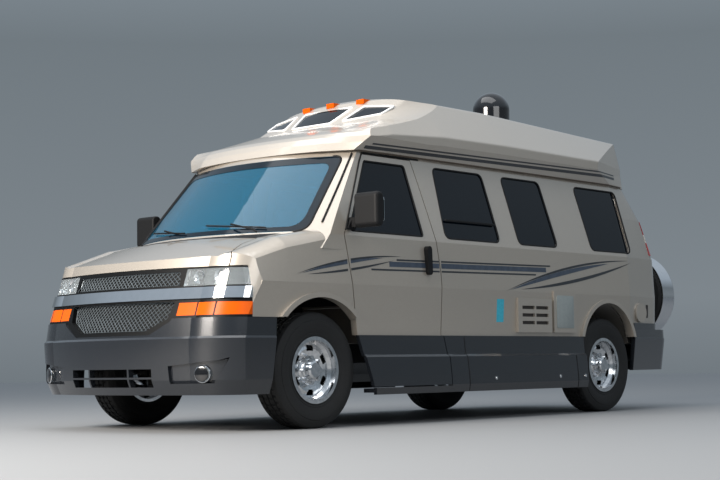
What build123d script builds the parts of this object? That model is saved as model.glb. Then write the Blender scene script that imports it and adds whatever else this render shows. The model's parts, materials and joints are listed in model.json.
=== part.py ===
from build123d import *
import os
from math import cos, hypot, radians, sin, sqrt

# Camper van with a moulded high roof, in millimetres.
# +X points forwards, +Y to the driver's left, +Z up. The origin is on the ground, in the
# middle of the box around the whole vehicle.

# Overall sizes
wheelbase = 3429
front_overhang = 980            # front axle to the face of the front bumper
rear_overhang = 1040            # rear axle to the tail of the body
spare_reach = 431               # tail to the back of the spare wheel's cover
track = 1680
body_half_width = 1006
gutter_height = 1895
roof_height = 2420              # crown of the high roof
dome_rise = 315                 # top of the dome above the crown
mirror_reach = 1235             # centre line to the outside of a door mirror
overall_length = front_overhang + wheelbase + rear_overhang + spare_reach
far = overall_length            # beyond anything, for blocks that only cut

# Levels of the body
cladding_bottom = 208
cladding_top = 610              # painted sides start here
crease_height = 950
belt_height = 1280
upper_height = belt_height + 0.5528456 * (gutter_height - belt_height)  # slight bend

# Walls, seams and seats
wall = 50                       # side walls and doors, skin to lining
skin = 10                       # flange that closes a door's free edge
panel = 25                      # hood and front fenders
gap = 8                         # seam round doors and hood
seat = 0.3                      # between pieces that rest on each other
glass = 6
glass_inset = 7                 # glass lies this far inside the skin

# Wheels
tyre_radius = 381
tyre_width = 240
bead_radius = 204               # 16 inch wheel
lip_radius = 222
rim_width = 190
stud_circle = 165.1
stud_count = 8
hand_holes = 6
king_pin_y = 700
arch_radius = 475

front_axle_x = overall_length / 2 - front_overhang
rear_axle_x = front_axle_x - wheelbase
axle_z = tyre_radius
wheel_y = track / 2

pieces = {}


def box(x0, x1, y0, y1, z0, z1):
    with BuildPart() as block:
        with Locations(((x0 + x1) / 2, (y0 + y1) / 2, (z0 + z1) / 2)):
            Box(x1 - x0, y1 - y0, z1 - z0)
    return block.part


def side_prism(points, y0, y1, radius=0, grow=0):
    """A side-view outline, points as (x, z), run from y0 to y1, corners rounded."""
    with BuildSketch(Plane.XZ.offset(-y1)) as outline:
        with BuildLine():
            Polyline(*points, close=True)
        make_face()
        if radius:
            fillet(outline.vertices(), radius)
        if grow:
            offset(amount=grow, kind=Kind.INTERSECTION)
    with BuildPart() as prism:
        extrude(outline.sketch, amount=y1 - y0)
    return prism.part


def end_prism(points, x0, x1, radius=0, grow=0):
    """An outline seen from an end, points as (y, z), run from x0 to x1."""
    with BuildSketch(Plane.YZ.offset(x0)) as outline:
        with BuildLine():
            Polyline(*points, close=True)
        make_face()
        if radius:
            fillet(outline.vertices(), radius)
        if grow:
            offset(amount=grow, kind=Kind.INTERSECTION)
    with BuildPart() as prism:
        extrude(outline.sketch, amount=x1 - x0)
    return prism.part


def plan_prism(points, z0, z1, radius=0, grow=0):
    """A plan outline, points as (x, y), run from z0 to z1."""
    with BuildSketch(Plane.XY.offset(z0)) as outline:
        with BuildLine():
            Polyline(*points, close=True)
        make_face()
        if radius:
            fillet(outline.vertices(), radius)
        if grow:
            offset(amount=grow, kind=Kind.INTERSECTION)
    with BuildPart() as prism:
        extrude(outline.sketch, amount=z1 - z0)
    return prism.part


def side_disc(x, z, radius, y0, y1):
    with BuildPart() as disc:
        with BuildSketch(Plane.XZ.offset(-y1)):
            with Locations((x, z)):
                Circle(radius)
        extrude(amount=y1 - y0)
    return disc.part


def flipped(shape):
    """The same piece on the other side of the vehicle."""
    return mirror(shape, about=Plane.XZ, mode=Mode.PRIVATE)


# Body seen from above, by level: the side runs straight back to taper_x, then in to the
# rounded corner at the tail.
nose_limit = front_axle_x + 700
taper_x = rear_axle_x - 330
tail_x = rear_axle_x - rear_overhang
# columns: height, tail x, half width, half width at the tail, corner radius
body_levels = (
    (cladding_top, tail_x + 5, body_half_width - 21, body_half_width - 136, 240),
    (crease_height, tail_x, body_half_width, body_half_width - 126, 240),
    (belt_height, tail_x + 5, body_half_width - 21, body_half_width - 141, 240),
    (upper_height, tail_x + 95, body_half_width - 111, body_half_width - 206, 240),
    (gutter_height, tail_x + 280, body_half_width - 184, body_half_width - 266, 240),
)


def level_at(height):
    """Tail, half widths and corner of the body at any height, read off body_levels."""
    if height <= body_levels[0][0]:
        return body_levels[0][1:]
    for low, high in zip(body_levels, body_levels[1:]):
        if height >= low[0]:
            pair = (low, high)
    low, high = pair
    share = (height - low[0]) / (high[0] - low[0])
    return tuple(a + share * (b - a) for a, b in zip(low[1:], high[1:]))


def side_y(height, inset=0):
    return level_at(height)[1] - inset


def body_outline(height, inset):
    tail, half_width, tail_half_width, corner = level_at(height)
    side, tail_side, back = half_width - inset, tail_half_width - inset, tail + inset
    with BuildSketch(Plane.XY.offset(height)) as outline:
        with BuildLine():
            Polyline(
                (nose_limit, side), (taper_x, side), (back, tail_side),
                (back, -tail_side), (taper_x, -side), (nose_limit, -side), close=True,
            )
        make_face()
        fillet(outline.vertices().group_by(Axis.X)[0], max(corner - inset, 12))
    return outline.sketch


def body_solid(inset, low, high):
    """The body as one solid between two heights, its skin moved inwards by inset."""
    heights = [low] + [row[0] for row in body_levels if low < row[0] < high] + [high]
    with BuildPart() as solid:
        loft([body_outline(height, inset) for height in heights], ruled=True)
    return solid.part


# Windscreen: a plan arc carried back and up along the rake
screen_base_x = front_axle_x + 250
screen_base_z = 1290
screen_run = 570                # how far the glass leans back up to the gutter
screen_rise = gutter_height - screen_base_z
screen_bow = 1500               # plan radius


def bowed_block(front_x, base_z, run, rise, inset, below, above, bow=screen_bow):
    """All that lies behind a bowed, leaning front face through (front_x, base_z)."""
    nose = front_x + below * run / rise - inset * hypot(run, rise) / rise
    half = 1100
    drop = bow - sqrt(bow ** 2 - half ** 2)
    with BuildSketch(Plane.XY.offset(base_z - below)) as plan:
        with BuildLine():
            ThreePointArc((nose - drop, half), (nose, 0), (nose - drop, -half))
            Polyline((nose - drop, -half), (-far, -half), (-far, half), (nose - drop, half))
        make_face()
    with BuildPart() as block:
        extrude(plan.sketch, amount=(below + above) * hypot(run, rise) / rise,
                dir=(-run, 0, rise))
    return block.part


def screen_block(inset):
    return bowed_block(screen_base_x, screen_base_z, screen_run, screen_rise, inset, 300, 900)


# Fore body: fenders and hood, by station along the vehicle.
# columns: x, y at the cladding, y at the crease, shoulder y and z, crown y and z, centre z
hinge_x = front_axle_x - 248    # front edge of the cab doors
fore_stations = (
    (hinge_x, side_y(cladding_top), side_y(crease_height), 985, 1276, 800, 1345, 1400),
    (front_axle_x + 290, 980, 1000, 972, 1170, 780, 1243, 1280),
    (front_axle_x + 890, 968, 985, 955, 990, 760, 1045, 1075),
)


def fore_section(station, inset, low):
    x, low_y, crease_y, shoulder_y, shoulder_z, crown_y, crown_z, centre_z = station
    low_y, crease_y, shoulder_y = low_y - inset, crease_y - inset, shoulder_y - inset
    crown_y, crown_z, centre_z = crown_y - inset / 2, crown_z - inset, centre_z - inset
    shoulder_z = shoulder_z - inset / 2
    round_y = crown_y + 0.74 * (shoulder_y - crown_y)
    round_z = shoulder_z + 0.70 * (crown_z - shoulder_z)
    with BuildSketch(Plane.YZ.offset(x)) as section:
        with BuildLine():
            for side in (1, -1):
                Polyline((0, low), (side * low_y, low), (side * crease_y, crease_height),
                         (side * shoulder_y, shoulder_z))
                ThreePointArc((side * shoulder_y, shoulder_z), (side * round_y, round_z),
                              (side * crown_y, crown_z))
            ThreePointArc((-crown_y, crown_z), (0, centre_z), (crown_y, crown_z))
        make_face()
    return section.sketch


def fore_solid(inset, low=cladding_top):
    with BuildPart() as solid:
        loft([fore_section(row, inset, low) for row in fore_stations], ruled=True)
    return solid.part


# Nose: bowed in plan, rounded at the corners, leaning back as it rises
nose_x = front_axle_x + 880
nose_z = 864
nose_lean = 0.33


def nose_block(inset):
    start = 500
    x = nose_x + (nose_z - start) * nose_lean - inset
    with BuildSketch(Plane.XY.offset(start)) as plan:
        with BuildLine():
            ThreePointArc((x - 100, 700 - inset), (x, 0), (x - 100, inset - 700))
            for side in (1, -1):
                ThreePointArc(
                    (x - 100, side * (700 - inset)), (x - 168, side * (900 - inset)),
                    (x - 320, side * (992 - inset)),
                )
                Polyline((x - 320, side * (992 - inset)), (x - 340, side * 1100),
                         (0, side * 1100), (0, 0))
        make_face()
    rise = 1100
    with BuildPart() as block:
        extrude(plan.sketch, amount=rise * hypot(1, nose_lean), dir=(-nose_lean, 0, 1))
    return block.part


fore_outer = fore_solid(0) & nose_block(0)
fore_shell = fore_outer - (fore_solid(panel, cladding_top - 100) & nose_block(panel))
side_shell = body_solid(0, cladding_top, gutter_height) - body_solid(
    wall, cladding_top - 100, gutter_height + 200
)
inside_skin = body_solid(skin, cladding_top - 100, gutter_height + 200)
glass_shell = body_solid(glass_inset, belt_height, gutter_height) - body_solid(
    glass_inset + glass, belt_height - 50, gutter_height + 50
)

# Cladding along the lower sides: a ledge, then a flare down to the running edge.
# columns: y, z of the outer face, top to bottom
cladding_face = (
    (996, cladding_top), (1003, 510), (1006, 478), (1024, 462), (1036, 330), (1038, 262),
    (1028, cladding_bottom),
)
cladding_wall = 28


def cladding_solid(x0, x1, side):
    outer = [(side * y, z) for y, z in cladding_face]
    inner = [(side * (y - cladding_wall), z) for y, z in reversed(cladding_face)]
    return end_prism(outer + inner, x0, x1)


# Doors on upright hinges just outside the skin. Each front edge is flat in side view.
hinge_y = body_half_width + 2
# columns: height, radius of the cab door's free edge about its hinge
cab_door_radii = (
    (cladding_bottom, 1062), (450, 1056), (cladding_top, 1020), (cladding_top + 5, 1002),
    (1050, 1000), (gutter_height - 15, 895), (gutter_height + 65, 880),
)
door_top = gutter_height - 23
cab_door_outline = (
    (hinge_x - 228, 262), (hinge_x - 118, cladding_top), (hinge_x - 90, 760),
    (hinge_x - 42, 1050), (hinge_x - 5, belt_height), (hinge_x - 322, gutter_height - 69),
    (hinge_x - 365, door_top), (hinge_x - 1150, door_top), (hinge_x - 1150, 262),
)
window_sill = belt_height + 32
window_head = gutter_height - 69
cab_window = (
    (hinge_x - 60, window_sill), (hinge_x - 340, window_head - 44),
    (hinge_x - 368, window_head), (hinge_x - 795, window_head), (hinge_x - 842, window_sill),
)


def turned_block(x, y, radii, grow):
    """The space inside a free edge that is turned about an upright hinge at (x, y)."""
    with BuildSketch(Plane.XZ.offset(-y)) as half:
        with BuildLine():
            Polyline(
                (x, radii[0][0]), *[(x - radius - grow, height) for height, radius in radii],
                (x, radii[-1][0]), close=True,
            )
        make_face()
    with BuildPart() as block:
        add(half.sketch)
        revolve(axis=Axis((x, y, 0), (0, 0, 1)))
    return block.part


def cab_door_space(grow):
    outline = side_prism(cab_door_outline, 600, 1100, grow=grow)
    return outline & turned_block(hinge_x, hinge_y, cab_door_radii, grow)


def hinge_leaves(opening, door, x0, x1, y0, y1, heights, tall=60):
    """Blocks that fill the seam at a door's hinges, a seat's gap short of the door."""
    seam = opening - door
    return [seam & box(x0, x1, y0, y1, z, z + tall) for z in heights]


cab_opening = cab_door_space(gap)
cab_leaves = hinge_leaves(cab_opening, cab_door_space(seat), hinge_x - 200, hinge_x + 60,
                          962, 984, (820, 1120))

with BuildPart() as left_cab_door:
    add(side_shell & cab_door_space(0))
    add(side_prism(cab_window, 600, 1100, radius=24), mode=Mode.SUBTRACT)
pieces["left_cab_door"] = left_cab_door.part
pieces["right_cab_door"] = flipped(left_cab_door.part)

with BuildPart() as left_door_cladding:
    add(cladding_solid(hinge_x - 1150, hinge_x - 60, 1) & cab_door_space(0))
    add(box(-far, far, 900, 1100, cladding_top - seat, belt_height), mode=Mode.SUBTRACT)
pieces["left_door_cladding"] = left_door_cladding.part
pieces["right_door_cladding"] = flipped(left_door_cladding.part)

with BuildPart() as left_cab_glass:
    add(glass_shell & side_prism(cab_window, 600, 1100, radius=24, grow=-seat))
pieces["left_cab_glass"] = left_cab_glass.part
pieces["right_cab_glass"] = flipped(left_cab_glass.part)

# Side doors on the kerb side, worked out here on the driver's side and then flipped
side_front_hinge_x = hinge_x - 1062
side_rear_hinge_x = rear_axle_x + 929
side_split_x = side_front_hinge_x - 645
split_gap = 10                  # seam between two free edges
door_bottom = cladding_top + 10
relief = 25                     # the lining stops this far short of a free edge


def upright_outline(x0, x1):
    return ((x0, door_bottom), (x1, door_bottom), (x1, door_top), (x0, door_top))


side_opening = side_prism(
    upright_outline(side_rear_hinge_x + 5, side_front_hinge_x - 5), 600, 1100, grow=gap
)
side_closed = side_prism(
    upright_outline(side_rear_hinge_x + 5, side_front_hinge_x - 5), 600, 1100, grow=seat
)
side_leaves = hinge_leaves(side_opening, side_closed, side_rear_hinge_x - 20,
                           side_front_hinge_x + 20, 962, 984, (780, 1180))
# columns: name, x of the two edges, x of the relieved strip, window outline
side_door_rows = (
    ("side_door_front", side_split_x + split_gap / 2, side_front_hinge_x - 5,
     side_split_x - 5, side_split_x + split_gap / 2 + relief,
     ((side_split_x + 88, window_sill), (side_split_x + 108, window_head),
      (side_front_hinge_x - 92, window_head), (side_front_hinge_x - 80, window_sill))),
    ("side_door_rear", side_rear_hinge_x + 5, side_split_x - split_gap / 2,
     side_split_x - split_gap / 2 - relief, side_split_x + 5,
     ((side_rear_hinge_x + 78, window_sill), (side_rear_hinge_x + 98, window_head),
      (side_split_x - 92, window_head), (side_split_x - 84, window_sill))),
)
for name, x0, x1, relief_x0, relief_x1, window in side_door_rows:
    window_hole = side_prism(window, 600, 1100, radius=45)
    with BuildPart() as leaf:
        add(side_shell & side_prism(upright_outline(x0, x1), 600, 1100))
        add(inside_skin & box(relief_x0, relief_x1, 600, 1100, 500, 1950), mode=Mode.SUBTRACT)
        add(window_hole, mode=Mode.SUBTRACT)
    with BuildPart() as leaf_glass:
        add(glass_shell & side_prism(window, 600, 1100, radius=45, grow=-seat))
    pieces[name] = flipped(leaf.part)
    pieces[name.replace("door", "glass")] = flipped(leaf_glass.part)

# Rear doors: upright to the belt, then leaning forwards
rear_hinge_y = 780
rear_bumper_top = 676
rear_door_low = rear_bumper_top + 14
rear_door_edge = ((rear_hinge_y - 6, rear_door_low), (rear_hinge_y - 6, belt_height),
                  (rear_hinge_y - 125, door_top))
rear_door_outline = (
    (split_gap / 2, rear_door_low), *rear_door_edge, (split_gap / 2, door_top),
)
rear_opening_outline = ((-10, rear_door_low), *rear_door_edge, (-10, door_top))
rear_window = ((95, window_sill + 15), (95, window_head - 10), (540, window_head - 10),
               (625, window_sill + 15))
tail_zone = (tail_x - 50, tail_x + 400)
rear_opening = end_prism(rear_opening_outline, *tail_zone, grow=gap)
rear_leaves = hinge_leaves(
    rear_opening, end_prism(rear_opening_outline, *tail_zone, grow=seat),
    tail_x + 36, tail_x + 60, rear_hinge_y - 30, rear_hinge_y + 20, (740, 1140),
)
with BuildPart() as left_rear_door:
    add(side_shell & end_prism(rear_door_outline, *tail_zone))
    add(inside_skin & box(*tail_zone, -5, split_gap / 2 + relief, 500, 1950),
        mode=Mode.SUBTRACT)
    add(end_prism(rear_window, *tail_zone, radius=45), mode=Mode.SUBTRACT)
pieces["left_rear_door"] = left_rear_door.part
pieces["right_rear_door"] = flipped(left_rear_door.part)
with BuildPart() as left_rear_glass:
    add(glass_shell & end_prism(rear_window, *tail_zone, radius=45, grow=-seat))
pieces["left_rear_glass"] = left_rear_glass.part
pieces["right_rear_glass"] = flipped(left_rear_glass.part)

# Side panels run from the cab doors round the tail to the middle of the rear frame
# columns: top front, top rear, bottom front, bottom rear x of each coach window
coach_window_rows = (
    (hinge_x - 1119, hinge_x - 1707, hinge_x - 1092, hinge_x - 1752),
    (rear_axle_x + 1233, rear_axle_x + 727, rear_axle_x + 1189, rear_axle_x + 669),
    (rear_axle_x + 239, rear_axle_x - 388, rear_axle_x + 189, rear_axle_x - 408),
)
tail_lamp_low, tail_lamp_high = belt_height + 38, upper_height - 2
tail_lamp_outline = ((786, tail_lamp_low), (1000, tail_lamp_low), (1000, tail_lamp_high),
                     (732, tail_lamp_high))
tail_lamp_depth = 30


def tail_lamp_zone(grow):
    return end_prism(tail_lamp_outline, tail_x - 50, tail_x + 200 + grow, grow=grow)


tail_lamp_pocket = tail_lamp_zone(0) - body_solid(tail_lamp_depth + seat, 1000, gutter_height)
rear_arch_radius = 385
rear_arch_z = 500


def coach_window(row, grow=0):
    top_front, top_rear, low_front, low_rear = row
    outline = ((low_front, window_sill), (top_front, window_head + 14),
               (top_rear, window_head + 14), (low_rear, window_sill))
    return side_prism(outline, 600, 1100, radius=55, grow=grow)


rear_arch = side_disc(rear_axle_x, rear_arch_z, rear_arch_radius, 600, 1100) + box(
    rear_axle_x - rear_arch_radius, rear_axle_x + rear_arch_radius, 600, 1100, 0, rear_arch_z
)
rear_lip = (
    side_disc(rear_axle_x, rear_arch_z, rear_arch_radius + 34, 950, 1010)
    - side_disc(rear_axle_x, rear_arch_z, rear_arch_radius, 900, 1100)
) & box(-far, 0, 900, 1100, cladding_top, 1000)


def side_panel(windows, extra_openings, leaves):
    with BuildPart() as half:
        add(side_shell & box(tail_x - 50, hinge_x - 700, 0, 1100, 500, 2000))
        add(rear_lip)
        add(cab_opening, mode=Mode.SUBTRACT)
        add(rear_opening, mode=Mode.SUBTRACT)
        add(rear_arch, mode=Mode.SUBTRACT)
        add(tail_lamp_pocket, mode=Mode.SUBTRACT)
        for row in windows:
            add(coach_window(row), mode=Mode.SUBTRACT)
        for opening in extra_openings:
            add(opening, mode=Mode.SUBTRACT)
        for leaf in leaves:
            add(leaf)
    return half.part


pieces["left_side_panel"] = side_panel(coach_window_rows, [], rear_leaves)
pieces["right_side_panel"] = flipped(
    side_panel(coach_window_rows[2:], [side_opening], rear_leaves + side_leaves)
)
with BuildPart() as coach_windows:
    for row in coach_window_rows:
        add(glass_shell & coach_window(row, grow=-seat))
    add(flipped(glass_shell & coach_window(coach_window_rows[2], grow=-seat)))
pieces["coach_windows"] = coach_windows.part

# Windscreen and its frame, the pillars and the header
pillar = 42
screen_head = gutter_height - 37
screen_outline = ((850, screen_base_z + 12), (762, screen_head), (-762, screen_head),
                  (-850, screen_base_z + 12))
screen_round = 64
frame_low = screen_base_z - 110
screen_front = hinge_x - 700
with BuildPart() as screen_frame:
    add(body_solid(0, frame_low, gutter_height) & screen_block(0))
    add(body_solid(pillar, frame_low - 50, gutter_height + 50) & screen_block(pillar),
        mode=Mode.SUBTRACT)
    add(box(-far, screen_front + seat, -1100, 1100, 1000, 2000), mode=Mode.SUBTRACT)
    add(fore_solid(0), mode=Mode.SUBTRACT)
    add(box(hinge_x - 160, hinge_x + 1, -1100, 1100, 1000, belt_height + seat),
        mode=Mode.SUBTRACT)
    for opening in (cab_opening, flipped(cab_opening)):
        add(opening, mode=Mode.SUBTRACT)
    add(end_prism(screen_outline, hinge_x - 512, far, radius=screen_round), mode=Mode.SUBTRACT)
pieces["screen_frame"] = screen_frame.part
with BuildPart() as windscreen:
    add(screen_block(2) - screen_block(2 + glass))
    add(end_prism(screen_outline, hinge_x - 512, far, radius=screen_round, grow=-seat),
        mode=Mode.INTERSECT)
pieces["windscreen"] = windscreen.part

# Hood, cowl and front fenders share the fore body's skin
hood_rear_x = front_axle_x + 300
hood_lip_z = 1047
cowl_y = 700
# columns: how far in front of the hood's rear edge, half width there
hood_edge = ((0, cowl_y), (135, cowl_y), (245, 750), (314, 800), (367, 850), (640, 872))


def hood_space(grow):
    outline = [(hood_rear_x + ahead, y) for ahead, y in hood_edge]
    outline += [(x, -y) for x, y in reversed(outline)]
    return plan_prism(outline, hood_lip_z - grow, 1500, grow=grow)


with BuildPart() as hood:
    add(fore_shell & hood_space(0))
pieces["hood"] = hood.part

fascia_x = front_axle_x + 605   # outer edge of the lamps
bumper_top = 720
fascia_low = bumper_top + seat
cowl_zone = box(hinge_x, hood_rear_x + 20, -cowl_y, cowl_y, 1100, 1500)
with BuildPart() as cowl:
    add(fore_shell & cowl_zone)
    add(hood_space(gap), mode=Mode.SUBTRACT)
    add(fore_solid(0) & box(hood_rear_x - 40, hood_rear_x - 20, -cowl_y, cowl_y, 1150, 1400))
    add(screen_block(-seat), mode=Mode.SUBTRACT)
    add(box(hinge_x - 110, hood_rear_x - 20, -850, 850, 1150, 1162))
    add(box(hinge_x - 110, hinge_x - 98, -925, 925, 812, 1162))
    add(box(hinge_x - 110, hinge_x - 98, -477, 477, cladding_top + seat, 812))
    for side in (1, -1):
        ear = box(hood_rear_x - gap - 20, hood_rear_x - seat, side * 520 - 20, side * 520 + 20,
                  1150, 1400)
        add(ear & fore_solid(4) - fore_solid(40))
pieces["cowl"] = cowl.part

front_arch = side_disc(front_axle_x, axle_z, arch_radius, 600, 1100)
front_lip = (
    side_disc(front_axle_x, axle_z, arch_radius + 34, 950, 1014)
    - side_disc(front_axle_x, axle_z, arch_radius, 900, 1100)
) & box(hinge_x - 100, fascia_x, 900, 1100, 724, 1000)
with BuildPart() as left_fender:
    add(fore_shell & box(hinge_x, nose_x + 200, 0, 1100, cladding_top, 1500))
    add(side_shell & box(hinge_x - 150, hinge_x, 600, 1100, cladding_top, belt_height))
    add(front_lip)
    add(hood_space(gap), mode=Mode.SUBTRACT)
    add(box(hinge_x - 200, hood_rear_x + 30, -10, cowl_y + seat, 1000, 1500),
        mode=Mode.SUBTRACT)
    add(cab_opening, mode=Mode.SUBTRACT)
    add(front_arch, mode=Mode.SUBTRACT)
    add(box(fascia_x, far, -10, 1100, 500, hood_lip_z), mode=Mode.SUBTRACT)
    add(box(front_axle_x + 200, far, -10, 1100, 500, bumper_top + 2), mode=Mode.SUBTRACT)
    for leaf in cab_leaves:
        add(leaf)
with BuildPart() as front_fenders:
    add(left_fender.part)
    add(flipped(left_fender.part))
pieces["front_fenders"] = front_fenders.part

# Face of the nose: a black surround, a bright bar across it, lamps at the corners
fascia_depth = 40
lamp_inner_y = 552
bar_low, bar_high = 842, 914
head_low, head_high = 924, 1034
amber_low, amber_high = 736, 818
bar_stand = 12


def nose_band(low, high, outset, depth, x0=fascia_x + seat):
    """A strip of the nose between two heights, from outset beyond the skin to depth."""
    front = nose_block(-outset) - nose_block(-outset + depth)
    return front & box(x0, nose_x + 300, -985, 985, low, high)


def lamp_pocket(low, high, grow):
    pocket = box(fascia_x - 10, nose_x + 300, lamp_inner_y - grow, 1100, low - grow, high + grow)
    return pocket + flipped(pocket)


# Grille: two bowed plates that back the mesh, set back in the surround. The lower one
# goes down behind the dip in the bumper.
dip_z = bumper_top - 103
dip_outline = ((-684, bumper_top + 60), (-375, dip_z), (375, dip_z), (684, bumper_top + 60))
dip_round = 45
mesh_plate = 6
# columns: corners of each plate as (half width, height) from low to high, its setback
mesh_rows = (
    (((524, bar_high + 14), (506, 1019)), 14),
    (((330, dip_z + 26), (490, bumper_top), (520, bar_low - 14)), 33),
)


def mirrored_outline(corners):
    return [*corners, *[(-y, z) for y, z in reversed(corners)]]


with BuildPart() as grille:
    add(nose_band(fascia_low, hood_lip_z - 4, 0, fascia_depth) & fore_solid(0))
    tongue = end_prism(dip_outline, fascia_x, nose_x + 300, radius=dip_round, grow=-seat)
    add(tongue & nose_band(dip_z, fascia_low + 1, 0, fascia_depth))
    add(lamp_pocket(head_low, head_high, 0), mode=Mode.SUBTRACT)
    add(lamp_pocket(amber_low, amber_high, 0), mode=Mode.SUBTRACT)
    add(box(front_axle_x, far, -1100, 1100, bar_low - seat, bar_high + seat), mode=Mode.SUBTRACT)
    for corners, setback in mesh_rows:
        opening = end_prism(mirrored_outline(corners), front_axle_x, far, radius=14)
        add(opening, mode=Mode.SUBTRACT)
        plate = (nose_block(setback) - nose_block(setback + mesh_plate)) & end_prism(
            mirrored_outline(corners), front_axle_x, far, grow=8
        )
        add(plate)
pieces["grille"] = grille.part
with BuildPart() as chrome_bar:
    add(nose_band(bar_low, bar_high, bar_stand, fascia_depth))
pieces["chrome_bar"] = chrome_bar.part
with BuildPart() as headlamps:
    add(nose_band(head_low + seat, head_high - seat, 0, 30) & fore_solid(0))
    add(box(front_axle_x, far, -lamp_inner_y - seat, lamp_inner_y + seat, 500, 1100),
        mode=Mode.SUBTRACT)
with BuildPart() as amber_lamps:
    add(nose_band(amber_low + seat, amber_high - seat, 0, 24) & fore_solid(0))
    add(box(front_axle_x, far, -lamp_inner_y - seat, lamp_inner_y + seat, 500, 1100),
        mode=Mode.SUBTRACT)

# Bumpers: few plan outlines lofted, hollow behind
bumper_shell = 40
# columns: height, face x, half width
front_bumper_levels = (
    (236, front_axle_x + 930, 955), (330, front_axle_x + 968, 978),
    (590, front_axle_x + front_overhang, 992), (604, front_axle_x + 966, 986),
    (bumper_top, front_axle_x + 950, 982),
)
front_bumper_end = ((front_axle_x + 392, bumper_top), (front_axle_x + 412, 500),
                    (front_axle_x + 440, 230))


def bumper_solid(levels, end_x, inset):
    with BuildPart() as solid:
        outlines = []
        for height, x, half_width in levels:
            face, side = x - inset, half_width - inset
            with BuildSketch(Plane.XY.offset(height)) as outline:
                with BuildLine():
                    ThreePointArc((face - 95, side * 0.7), (face, 0), (face - 95, -side * 0.7))
                    for sign in (1, -1):
                        ThreePointArc((face - 95, sign * side * 0.7),
                                      (face - 160, sign * side * 0.89),
                                      (face - 300, sign * side))
                        Polyline((face - 300, sign * side), (end_x, sign * side), (end_x, 0))
                make_face()
            outlines.append(outline.sketch)
        loft(outlines, ruled=True)
    return solid.part


slot_rows = ((286, 338), (350, 402))
slot_columns = ((-400, -205), (-190, 190), (205, 400))
fog_z, fog_y, fog_radius = 368, 780, 46
fog_pocket = ((540, 308), (532, 420), (880, 452), (935, 470), (905, 400), (850, 310))
floor_low = 560
rail_y, rail_width, rail_low, rail_high = 435, 70, 425, floor_low - seat
rail_front_x = front_axle_x + 800
rail_rear_x = tail_x - 12
bumper_inner_low = [(row[0] - 60 if row[0] == 236 else row[0], *row[1:]) for row in
                    front_bumper_levels[:-1]] + [(bumper_top - 18, *front_bumper_levels[-1][1:])]
with BuildPart() as front_bumper:
    add(bumper_solid(front_bumper_levels, front_axle_x + 300, 0))
    add(bumper_solid(bumper_inner_low, front_axle_x + 250, bumper_shell), mode=Mode.SUBTRACT)
    add(side_prism((front_bumper_end[0], front_bumper_end[1], front_bumper_end[2],
                    (front_axle_x, 230), (front_axle_x, bumper_top + 5),
                    (front_axle_x + 392, bumper_top + 5)), -1100, 1100), mode=Mode.SUBTRACT)
    add(end_prism(dip_outline, fascia_x, nose_x + 300, radius=dip_round), mode=Mode.SUBTRACT)
    for low, high in slot_rows:
        for y0, y1 in slot_columns:
            add(box(front_axle_x + 640, far, y0, y1, low, high), mode=Mode.SUBTRACT)
    for side in (1, -1):
        pocket = end_prism([(side * y, z) for y, z in fog_pocket], front_axle_x + 440, far)
        add(pocket - bumper_solid(front_bumper_levels, front_axle_x, 22), mode=Mode.SUBTRACT)
        pad = box(rail_front_x + seat, far, side * rail_y - rail_width / 2,
                  side * rail_y + rail_width / 2, rail_low, rail_high)
        add(pad & bumper_solid(front_bumper_levels, front_axle_x, 10))
pieces["front_bumper"] = front_bumper.part

with BuildPart() as fog_lamps:
    for side in (1, -1):
        with BuildSketch(Plane.YZ.offset(front_axle_x + 640)):
            with Locations((side * fog_y, fog_z)):
                Circle(fog_radius)
        extrude(amount=400)
    add(bumper_solid(front_bumper_levels, front_axle_x, 4)
        - bumper_solid(front_bumper_levels, front_axle_x, 22),
        mode=Mode.INTERSECT)
with BuildPart() as front_lamps:
    add(headlamps.part)
    add(fog_lamps.part)
pieces["front_lamps"] = front_lamps.part

# The rear bumper follows the body round the tail, with a strip above it along the sides.
# columns: height, how far proud of the side, reach behind the tail, corner radius
rear_bumper_levels = ((332, -10, 131, 200), (596, 22, 156, 220), (612, 18, 148, 215),
                      (rear_bumper_top, 16, 141, 215))
rear_bumper_start = rear_axle_x - 412
tail_taper = 0.16               # the sides close in this much per unit of length
strip_top, strip_proud = rear_bumper_top + 52, 8


def wrapped_solid(levels, inset):
    """A solid round the tail, by levels of its proudness over the body."""
    outlines = []
    for height, proud, reach, corner in levels:
        tail, half_width, tail_half_width, _ = level_at(height)
        side, back = half_width + proud - inset, tail_x - reach + inset
        tail_side = tail_half_width + proud - tail_taper * reach - inset
        with BuildSketch(Plane.XY.offset(height)) as outline:
            with BuildLine():
                Polyline((0, side), (taper_x, side), (back, tail_side), (back, -tail_side),
                         (taper_x, -side), (0, -side), close=True)
            make_face()
            fillet(outline.vertices().group_by(Axis.X)[0], corner - inset)
        outlines.append(outline.sketch)
    with BuildPart() as solid:
        loft(outlines, ruled=True)
    return solid.part


behind_arch = box(tail_x - 300, rear_bumper_start, -1100, 1100, 200, strip_top)
rear_bumper_hollow = ((300, *rear_bumper_levels[0][1:]), *rear_bumper_levels[1:3],
                      (rear_bumper_top - 16, *rear_bumper_levels[3][1:]))
with BuildPart() as rear_bumper:
    add(wrapped_solid(rear_bumper_levels, 0) & behind_arch)
    add(wrapped_solid(rear_bumper_hollow, bumper_shell), mode=Mode.SUBTRACT)
    strip = body_solid(-strip_proud, rear_bumper_top - 10, strip_top) & behind_arch
    for side in (1, -1):
        opening = end_prism([(side * y, z) for y, z in rear_opening_outline], *tail_zone,
                            grow=gap + 4)
        strip -= opening
    add(strip)
    add(body_solid(-seat, cladding_top, strip_top + 10), mode=Mode.SUBTRACT)
    for side in (1, -1):
        pad = box(tail_x - 200, rail_rear_x - seat, side * rail_y - rail_width / 2,
                  side * rail_y + rail_width / 2, rail_low, rail_high)
        add(pad & wrapped_solid(rear_bumper_levels, 10))
pieces["rear_bumper"] = rear_bumper.part

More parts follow.
